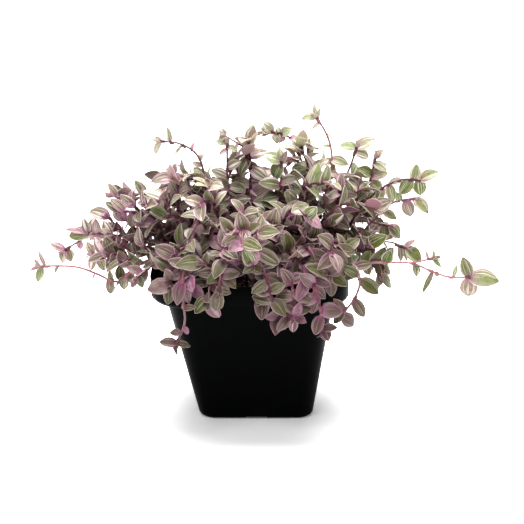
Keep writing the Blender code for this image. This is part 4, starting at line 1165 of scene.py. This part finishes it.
plant.leaves[BARE_STEM] = [leaf for leaf in plant.leaves[BARE_STEM] if not in_bare_spot(leaf.base)]


# A leaf blade
# An ovate, slightly fleshy blade under half a millimetre thick, keeled along the middle and clasping the
# stalk with its narrow base. It is modelled once, flat, and every leaf is a bent copy of it.

BLADE_CELLS_ACROSS = 4
BLADE_CELLS_ALONG = 8
BLANK_THICKNESS = 0.1
BLADE_THICKNESS = 0.00042
MARGIN_THICKNESS = 0.00016
BASE_WIDTH = 0.34
TIP_WIDTH = 0.05
FULLNESS = 1.05

# The outline is an arch that bulges low on the blade and tapers more towards the tip, and a bent blade
# arches a little more than its solid, with a fold along the middle that flattens towards the tip
LOWER_BULGE = 0.85
TIP_TAPER = (0.50, 0.18)
MORE_ARCH = 1.2
FOLD_CURVE = 1.4
FOLD_FLATTENS = (1.3, 0.6)
RIPPLES_ALONG = 9

# Colours from dark to light patches, or from the greenest to the pinkest leaves
OLIVE = ((0.064, 0.098, 0.005), (0.130, 0.175, 0.020))
SAGE = ((0.118, 0.166, 0.036), (0.225, 0.290, 0.095))
ROSY_GREEN = (0.200, 0.110, 0.098)
# Painted sunlight that lightens the green of the top leaves
SUNLIT_GREEN = (0.430, 0.470, 0.290)
# Painted shade that darkens the green deep inside the plant and low on it
PAINTED_SHADE_GREEN = (0.030, 0.042, 0.003)
ROSY_SIDE = (0.370, 0.215, 0.265)
STRIPE = ((0.770, 0.725, 0.620), (0.790, 0.580, 0.640))
MARGIN = ((0.740, 0.640, 0.570), (0.760, 0.490, 0.600))
FLUSH = (0.360, 0.090, 0.240)
FRESH = ((0.400, 0.110, 0.260), (0.640, 0.360, 0.480))
# Painted sunlight that whitens the top leaves
PAINTED_SUNLIGHT_WHITE = (0.900, 0.840, 0.860)
# Painted shade, from the greenest to the pinkest leaves
SHADE = ((0.030, 0.030, 0.008), (0.060, 0.018, 0.036))
LEAF_RELIEF = 0.00008

# Colours of the underside, from the shaded to the sunlit leaves
MOSSY = ((0.130, 0.130, 0.055), (0.460, 0.470, 0.300))
MAUVE = ((0.310, 0.165, 0.190), (0.580, 0.400, 0.430))
PALE_VEIN = ((0.420, 0.400, 0.290), (0.700, 0.680, 0.560))
PINK_VEIN = (0.640, 0.470, 0.510)
FRESH_BELOW = (0.400, 0.120, 0.250)
SHADE_BELOW = (0.045, 0.024, 0.018)

select_only()
bpy.ops.mesh.primitive_grid_add(x_subdivisions=BLADE_CELLS_ACROSS, y_subdivisions=BLADE_CELLS_ALONG, size=2)
blade = bpy.context.object
blade.name = "blade"
blade.data.uv_layers.active.name = "blade"
for spot in blade.data.uv_layers.active.data:
    spot.uv.y = (1 - math.cos(math.pi * spot.uv.y)) / 2
for vert in blade.data.vertices:
    vert.co.y = -math.cos(math.pi * (vert.co.y + 1) / 2)
bpy.ops.object.mode_set(mode="EDIT")
bpy.ops.mesh.select_all(action="SELECT")
bpy.ops.transform.resize(value=(1, 0.5, 1))
bpy.ops.transform.translate(value=(0, 0.5, 0))
bpy.ops.object.mode_set(mode="OBJECT")
body = blade.modifiers.new("Body", "SOLIDIFY")
body.thickness = BLANK_THICKNESS
body.offset = -1
body.material_offset = 1


def leaf_material(name, roughness):
    """A leaf's material, with the place across and along the blade, what the leaf says of itself, and how
    much painted sunlight and painted shade it gets.
    """
    material, paint = finish_for(
        name,
        Roughness=roughness,
        Specular_IOR_Level=0.16,
        Subsurface_Weight=0.2,
        Subsurface_Radius=(0.8, 0.8, 0.3),
        Subsurface_Scale=0.0012,
    )
    across, along, _ = paint.add("UVMap", {"uv_map": "blade"}, {}).parts()
    return (material, paint, across * 2 - 1, along, *paint.attribute("tint"), *paint.attribute("place"))


# high is how much painted sunlight a leaf gets, and deep how much painted shade
leaf_top, paint, across, along, pink, pale, young, own, high, deep = leaf_material("striped_leaf", 0.42)
mottle = paint.vector(across * 1.5 + own * 23, along * 3, own * 31).noise(Scale=1.6, Detail=3.0)
patches = paint.vector(across * 1.1 + own * 47, along * 0.3, own * 13).noise(Scale=1.0)
fine = paint.vector(across * 7.0 + own * 91, along * 0.4, own * 29).noise(Scale=1.0)
# Leaves in the painted sunlight lean to the paler sage
hue = (paint.maths("FRACT", own * 7.3) + high).step(0.50, 1.70)
light = mottle.step(0.35, 0.65)
green = hue.tint(light.tint(*OLIVE), light.tint(*SAGE))
green = (pink * 0.4).tint(green, ROSY_GREEN)
# Painted sunlight lightens the green, and painted shade darkens it
green = (high * 0.22).tint(green, SUNLIT_GREEN)
green = (deep * 0.55).tint(green, PAINTED_SHADE_GREEN)
rosy = abs(across).step(0.35, 1.0) * (pink * 0.7 + 0.03)
green = rosy.tint(green, ROSY_SIDE)
border = 0.79 - pale * 0.20
wide = patches.step(border - 0.03, border + 0.03)
# The fine pale lines fade in painted shade
narrow = fine.step(0.555, 0.615) * (1 - along.step(0.80, 0.98)) * (0.74 - deep * 0.3)
surface = paint.maths("MAXIMUM", wide, narrow).tint(green, pink.tint(*STRIPE))
edge = (1 - abs(across)) * (1 - (along * 2 - 1) * (along * 2 - 1))
margin = (1 - edge.step(0.02, 0.085)) * 0.78
surface = margin.tint(surface, pink.tint(*MARGIN))
flush = (1 - along.step(0.0, 0.42)) * (pink + 0.03)
surface = flush.tint(surface, FLUSH)
surface = young.tint(surface, mottle.step(0.3, 0.7).tint(*FRESH))
# Painted sunlight whitens the top leaves, and painted shade darkens the whole surface
surface = (high * 0.07).tint(surface, PAINTED_SUNLIGHT_WHITE)
surface = (deep * 0.74).tint(surface, pink.tint(*SHADE))
ridges = paint.maths("SINE", across * 40)
paint.finish(
    Base_Color=surface,
    Roughness=mottle * 0.2 + 0.28,
    Normal=(ridges + mottle).bump(0.3, LEAF_RELIEF),
)

# The underside: lighter where sunlight is painted, and darkened by painted shade
leaf_under, paint, across, along, pink, _, young, own, high, deep = leaf_material("leaf_underside", 0.5)
veins = paint.maths("SINE", across * 17 + own * 30).step(0.2, 0.9) * 0.5
pale_vein = pink.tint(high.tint(*PALE_VEIN), PINK_VEIN)
below = veins.tint(pink.tint(high.tint(*MOSSY), high.tint(*MAUVE)), pale_vein)
paint.finish(
    Base_Color=deep.tint(young.tint(below, FRESH_BELOW), SHADE_BELOW),
    Roughness=along * 0.1 + 0.45,
)

blade.data.materials.append(leaf_top)
blade.data.materials.append(leaf_under)
apply_modifiers(blade)
blade_places = np.empty((len(blade.data.vertices), 3))
blade.data.vertices.foreach_get("co", blade_places.reshape(-1))
blade_across = blade_places[:, 0]
blade_along = blade_places[:, 1]
blade_below = (blade_places[:, 2] < -BLANK_THICKNESS / 2).astype(float)
blade_outline = np.sin(math.pi * np.clip(blade_along, 0, 1) ** LOWER_BULGE)
blade_widths = np.maximum(
    blade_outline ** (TIP_TAPER[0] + TIP_TAPER[1] * blade_along) * FULLNESS,
    np.where(blade_along < 0.5, BASE_WIDTH, TIP_WIDTH),
)


def bend_blade(leaf, fold, sharpness, droop, ripple):
    """The places of a blade's vertices once it is bent to this leaf."""
    side = np.array(leaf.along.cross(leaf.face))
    half = leaf.width / 2 * blade_widths**sharpness
    thickness = mix(BLADE_THICKNESS, MARGIN_THICKNESS, blade_across**2)
    arch = np.sin(math.pi * blade_along) * ARCH * MORE_ARCH - droop * blade_along**3
    wave = ripple * np.sin(blade_along * RIPPLES_ALONG) * blade_across
    flattened = FOLD_FLATTENS[0] - FOLD_FLATTENS[1] * blade_along
    lift = leaf.length * arch + half * (fold * np.abs(blade_across) ** FOLD_CURVE * flattened + wave)
    lift -= thickness * blade_below
    reach = leaf.length * blade_along - LEAF_SUNK
    return (
        np.array(leaf.base)
        + np.outer(reach, np.array(leaf.along))
        + np.outer(half * blade_across, side)
        + np.outer(lift, np.array(leaf.face))
    )


def new_object(name, data):
    made = bpy.data.objects.new(name, data)
    scene.collection.objects.link(made)
    return made


def mark(mesh, tint, place=(0, 0, 0)):
    """Gives a mesh its own tint, and a random draw with the painted sunlight and painted shade of its place
    in the plant, which its material reads.
    """
    for name, value in (("tint", tint), ("place", place)):
        layer = mesh.attributes.new(name, "FLOAT_VECTOR", "POINT")
        layer.data.foreach_set("vector", np.tile(np.array(value, np.float32), len(mesh.vertices)))


# The stalks
# Thin round stalks, mostly dark maroon, rosier on the youngest stems, with a short flared sheath where each
# leaf clasps them.

STALK_RESOLUTION = 1
STALK_CURVE_STEPS = 4
SHEATH_LENGTH = 0.0024
SHEATH_SIDES = 7
SHEATH_RADII = (1.08, 1.45)
MAROON = ((0.024, 0.006, 0.009), (0.075, 0.016, 0.026))
ROSY = ((0.24, 0.085, 0.095), (0.34, 0.15, 0.15))

stalk_skin, paint = finish_for("stalk_skin", Roughness=0.4, Specular_IOR_Level=0.35)
fresh = paint.attribute("tint")[0]
blotch = paint.place().noise(Scale=350.0, Detail=3.0)
light = blotch.step(0.35, 0.65)
paint.finish(Base_Color=fresh.tint(light.tint(*MAROON), light.tint(*ROSY)), Roughness=blotch * 0.2 + 0.3)


def stalk_piece(route, thickness, fresh):
    """A round stalk along a route, thinner towards its tip, in one tone between maroon and rosy."""
    curve = bpy.data.curves.new("stalk", "CURVE")
    curve.dimensions = "3D"
    curve.bevel_depth = STALK_RADIUS * thickness
    curve.bevel_resolution = STALK_RESOLUTION
    curve.resolution_u = STALK_CURVE_STEPS
    curve.use_fill_caps = True
    spline = curve.splines.new("BEZIER")
    spline.bezier_points.add(len(route.points) - 1)
    for k, (spot, point) in enumerate(zip(spline.bezier_points, route.points)):
        spot.co = point
        spot.handle_left_type = spot.handle_right_type = "AUTO"
        spot.radius = mix(1, TIP_RADIUS_SHARE, k / (len(route.points) - 1))
    carrier = new_object("stalk", curve)
    evaluated = carrier.evaluated_get(bpy.context.evaluated_depsgraph_get())
    mesh = bpy.data.meshes.new_from_object(evaluated)
    bpy.data.objects.remove(carrier)
    mesh.materials.clear()
    mesh.materials.append(stalk_skin)
    mark(mesh, (fresh, 0, 0))
    return new_object("stalk", mesh)


select_only()
bpy.ops.mesh.primitive_cone_add(
    vertices=SHEATH_SIDES,
    radius1=STALK_RADIUS * SHEATH_RADII[0],
    radius2=STALK_RADIUS * SHEATH_RADII[1],
    depth=SHEATH_LENGTH,
)
sheath_blank = bpy.context.object
sheath_blank.data.materials.append(stalk_skin)


def stalk_direction(name, point):
    """Which way the stalk that a leaf's base stands on grows there."""
    steps = []
    for route in plant.routes[name]:
        for a, b in zip(route.points, route.points[1:]):
            share = clamp(intersect_point_line(point, a, b)[1])
            steps.append(((a.lerp(b, share) - point).length, (b - a).normalized()))
    return min(steps, key=lambda step: step[0])[1]


def sheath_piece(name, leaf, fresh):
    direction = stalk_direction(name, leaf.base)
    mesh = sheath_blank.data.copy()
    turn = direction.to_track_quat("Z", "Y").to_matrix().to_4x4()
    mesh.transform(Matrix.Translation(leaf.base - direction * SHEATH_LENGTH / 2) @ turn)
    mark(mesh, (fresh, 0, 0))
    return new_object("sheath", mesh)


# The leafy stems
# Each stem grows as one: its stalk and twigs, a sheath at every leaf and the leaves, striped olive and sage
# green with pale pink margins and pinker towards each tip. Painted sunlight lightens the leaves on the top,
# and painted shade darkens them deep inside and low down. Each stands in for its solid.

TINT_SEED = 31
STEM_SMOOTH = math.radians(50)
FRESH_STEMS = ("far_left", "far_right", "top_right")
FRESH_STALK = 0.75
STALK_FRESHNESS = (0.0, 0.35)

# A leaf's fold, the sharpness of its outline, the droop of its tip and the ripple of its margin
BENDS = ((0.04, 0.26), (0.8, 1.3), (0, 0.12), (0, 0.05))

# Age: leaves turn from young to old between these distances from a tip, and some of the youngest flush
YOUNG_REACH = 0.006
OLD_REACH = 0.026
YOUNG_PINK = 0.18
YOUNG_CHANCE = 0.3
YOUNG_FLUSH = (0.1, 0.75)
YOUNG_FROM = 0.1
# How much some leaves are darkened at random, less where sunlight is painted on them
RANDOM_DARKENING = 0.5

# Painted light: sunlight is painted on the top and a little on the far sides, and painted shade darkens
# leaves deep inside the plant and low on it
SHADED_Z = 0.098
SUNLIT_Z = 0.146
SIDE_LIGHT = 0.30
DEEP_FROM = 0.92
DEEP_TO = 0.50
DEEP_SHADE = 0.92
LOW_FROM = 0.126
LOW_TO = 0.078
LOW_SHADE = 0.94
FAR_FROM = 0.055
FAR_TO = 0.085
FAR_UNSHADED = 0.8

# Pinkness: from the left to the right, more at the front rim's corner, and as seen on single stems
PINK_LEFT = 0.48
PINK_FALL = 0.28
PINK_FALL_TO = 0.05
PINK_CORNER = Vector((0.028, -0.056, 0.078))
PINK_REACH = 0.036
PINK_RISE = 0.95
PINK_SPREAD = 0.24
GREENER = {
    "far_right": 0.12, "top_right": 0.08, "right_top": 0.10, "right_upper": 0.16, "right_back": 0.28,
    "right_arch": 0.20, "right_mid": 0.26, "right_hang": 0.22, "far_left": 0.40, "upper_left": 0.20,
    "front_left": 0.10, "left_corner": 0.15, "front_hang": 0.20, "front_mid": 0.30, "front_right": 0.30,
    "crown_sage": 0.05, "crown_right": 0.05, "crown_back": 0.15, "crown_left": 0.25, "crown_mid": 0.40,
}
PINKER = {
    "right_pink": 0.85, "front_corner": 0.95, "left_hang": 0.80, "front_right_low": 0.90, "left_pink": 0.80,
    "left_mid": 0.55, "left_rise": 0.60,
}

# Pale patches: how narrow their spread is, their share on the plainer green stems, and extra pale painted on
# as sunlight on top and at the far sides
PALE_SPREAD = 2.2
PALE_ON_PLAIN = 0.5
PALE_IN_PAINTED_SUN = 0.35
PALER_STEMS = ("crown", "top", "upper", "right_top")


def ramp(value, start, end):
    """0 at the start and 1 at the end, where the end may be the smaller one."""
    return clamp((value - start) / (end - start))


def pinkness_at(name, point):
    for seen in (GREENER, PINKER):
        if name in seen:
            return seen[name]
    corner = max(1 - (point - PINK_CORNER).length / PINK_REACH, 0)
    return PINK_LEFT - PINK_FALL * clamp(point.x / PINK_FALL_TO) + PINK_RISE * corner


def sunlit(leaf):
    """How much painted sunlight a leaf gets: how near it is to the sunlit top, from 0 to 1, or a smaller
    share of that far out at a side.
    """
    high = ramp(leaf.base.z, SHADED_Z, SUNLIT_Z)
    return max(high, ramp(abs(leaf.base.x), FAR_FROM, FAR_TO) * SIDE_LIGHT)


def shade_of(leaf, draw):
    """How much painted shade darkens a leaf deep inside the plant or low on it, with some leaves darkened at
    random outside the painted sunlight, from 0 to 1.
    """
    middle = leaf.base + leaf.along * leaf.length / 2
    off = middle - DOME_CENTRE
    off.z = max(off.z, 0)
    deep = ramp(dome_share(off), DEEP_FROM, DEEP_TO) * (1 - sunlit(leaf))
    far = ramp(abs(middle.x), FAR_FROM, FAR_TO)
    low = ramp(middle.z, LOW_FROM, LOW_TO) * (1 - FAR_UNSHADED * far)
    random_dark = draw.random() ** 2 * (1 - sunlit(leaf))
    return 1 - (1 - max(deep * DEEP_SHADE, low * LOW_SHADE)) * (1 - random_dark * RANDOM_DARKENING)


def leaf_tint(name, leaf, draw):
    """A leaf's pinkness, how much of it is pale, more where sunlight is painted, and how young it is."""
    from_tip = min((leaf.base - route.points[-1]).length for route in plant.routes[name])
    youth = 1 - ramp(from_tip, YOUNG_REACH, OLD_REACH)
    pink = pinkness_at(name, leaf.base) + YOUNG_PINK * youth + draw.gauss(0, PINK_SPREAD)
    plain = name in GREENER and not name.startswith(PALER_STEMS)
    pale = draw.betavariate(PALE_SPREAD, PALE_SPREAD) * (PALE_ON_PLAIN if plain else 1)
    young = 0
    if leaf.length < BUD_LENGTHS[1] or (from_tip < YOUNG_REACH and draw.random() < YOUNG_CHANCE):
        young = draw.uniform(*YOUNG_FLUSH) * clamp(pink + YOUNG_FROM)
    return clamp(pink), min(pale + PALE_IN_PAINTED_SUN * sunlit(leaf), 1), young


def dress_stem(name):
    """The pieces of one stem, not yet joined."""
    draw = random.Random(f"{TINT_SEED}{name}")
    parts = []
    for number, route in enumerate(plant.routes[name]):
        fresh = FRESH_STALK if name in FRESH_STEMS else draw.uniform(*STALK_FRESHNESS)
        parts.append(stalk_piece(route, TWIG_SHARE if number else 1, fresh))
    for leaf in plant.leaves[name]:
        mesh = blade.data.copy()
        shape = bend_blade(leaf, *[draw.uniform(*span) for span in BENDS])
        mesh.vertices.foreach_set("co", shape.reshape(-1))
        # A random draw, how much painted sunlight the leaf gets and how much painted shade
        place = (draw.random(), sunlit(leaf), shade_of(leaf, draw))
        mark(mesh, leaf_tint(name, leaf, draw), place)
        parts.append(new_object("leaf", mesh))
        if leaf.length > BUD_LENGTHS[1]:
            parts.append(sheath_piece(name, leaf, fresh))
    return parts


def finish_stem(parts, name):
    piece = join_pieces(parts, name)
    bpy.ops.object.shade_smooth_by_angle(angle=STEM_SMOOTH)
    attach(piece, "root")
    return piece


for name in laid:
    piece = finish_stem(dress_stem(name), "callisia_" + name)
    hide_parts("stem_" + name)
for zone in range(SHOOT_ZONES):
    shoots = [name for name in plant.routes if name.startswith(f"low_{zone + 1}_")]
    finish_stem([part for name in shoots for part in dress_stem(name)], f"low_shoots_{zone + 1}")
bpy.data.objects.remove(blade)
bpy.data.objects.remove(sheath_blank)


# The studio
# A plain white floor that glows away from the pot and is dimmed in a painted shadow in front of its foot,
# with a broad soft lamp above and a little behind, a weaker one in front, and the camera at the photograph's
# height and distance.

CAMERA_ELEVATION = math.radians(18.2)
CAMERA_DISTANCE = 0.9
CAMERA_AIM = Vector((0.0030, 0, 0.0762))
CAMERA_LENS = 118.5
LAMP_AIM = Vector((0, 0, 0.08))
LAMPS = (((0.05, 0.30, 1.25), 0.95, 57), ((-0.30, -0.70, 1.30), 0.6, 15))
SKY_STRENGTH = 0.20
FLOOR_SIZE = 12
FLOOR_WHITE = (0.9, 0.9, 0.9, 1)
# Painted shadow: the floor's glow is dim round a spot in front of the pot's foot and full white further out
PAINTED_SHADOW_CENTRE_Y = -0.055
PAINTED_SHADOW_RADII = (0.02, 0.115)
PAINTED_SHADOW_GLOW = (0.07, 0.07, 0.07)
FAR_GLOW = (0.95, 0.95, 0.95)

bpy.ops.mesh.primitive_plane_add(size=FLOOR_SIZE)
floor = bpy.context.object
floor.name = "studio_floor"
white, paint = finish_for("studio_white", Roughness=0.9, Specular_IOR_Level=0.0)
x, y, _ = paint.place().parts()
# The floor's glow, dimmed in a painted shadow in front of the pot's foot
radius = paint.maths("SQRT", x * x + (y - PAINTED_SHADOW_CENTRE_Y) * (y - PAINTED_SHADOW_CENTRE_Y))
glow_with_painted_shadow = radius.step(*PAINTED_SHADOW_RADII).tint(PAINTED_SHADOW_GLOW, FAR_GLOW)
paint.finish(Base_Color=FLOOR_WHITE, Emission_Strength=1, Emission_Color=glow_with_painted_shadow)
floor.data.materials.append(white)

world = bpy.data.worlds.new("studio_light")
world.use_nodes = True
sky = world.node_tree.nodes["Background"]
sky.inputs["Color"].default_value = (1, 1, 1, 1)
sky.inputs["Strength"].default_value = SKY_STRENGTH
scene.world = world

for place, size, energy in LAMPS:
    bpy.ops.object.light_add(type="AREA", location=place)
    lamp = bpy.context.object
    lamp.data.size = size
    lamp.data.energy = energy
    lamp.rotation_euler = (LAMP_AIM - lamp.location).to_track_quat("-Z", "Y").to_euler()

bpy.ops.object.camera_add()
camera = bpy.context.object
camera.data.lens = CAMERA_LENS
toward = Vector((0, -math.cos(CAMERA_ELEVATION), math.sin(CAMERA_ELEVATION)))
camera.location = CAMERA_AIM + toward * CAMERA_DISTANCE
camera.rotation_euler = toward.to_track_quat("Z", "Y").to_euler()
scene.camera = camera
scene.view_settings.view_transform = "Standard"
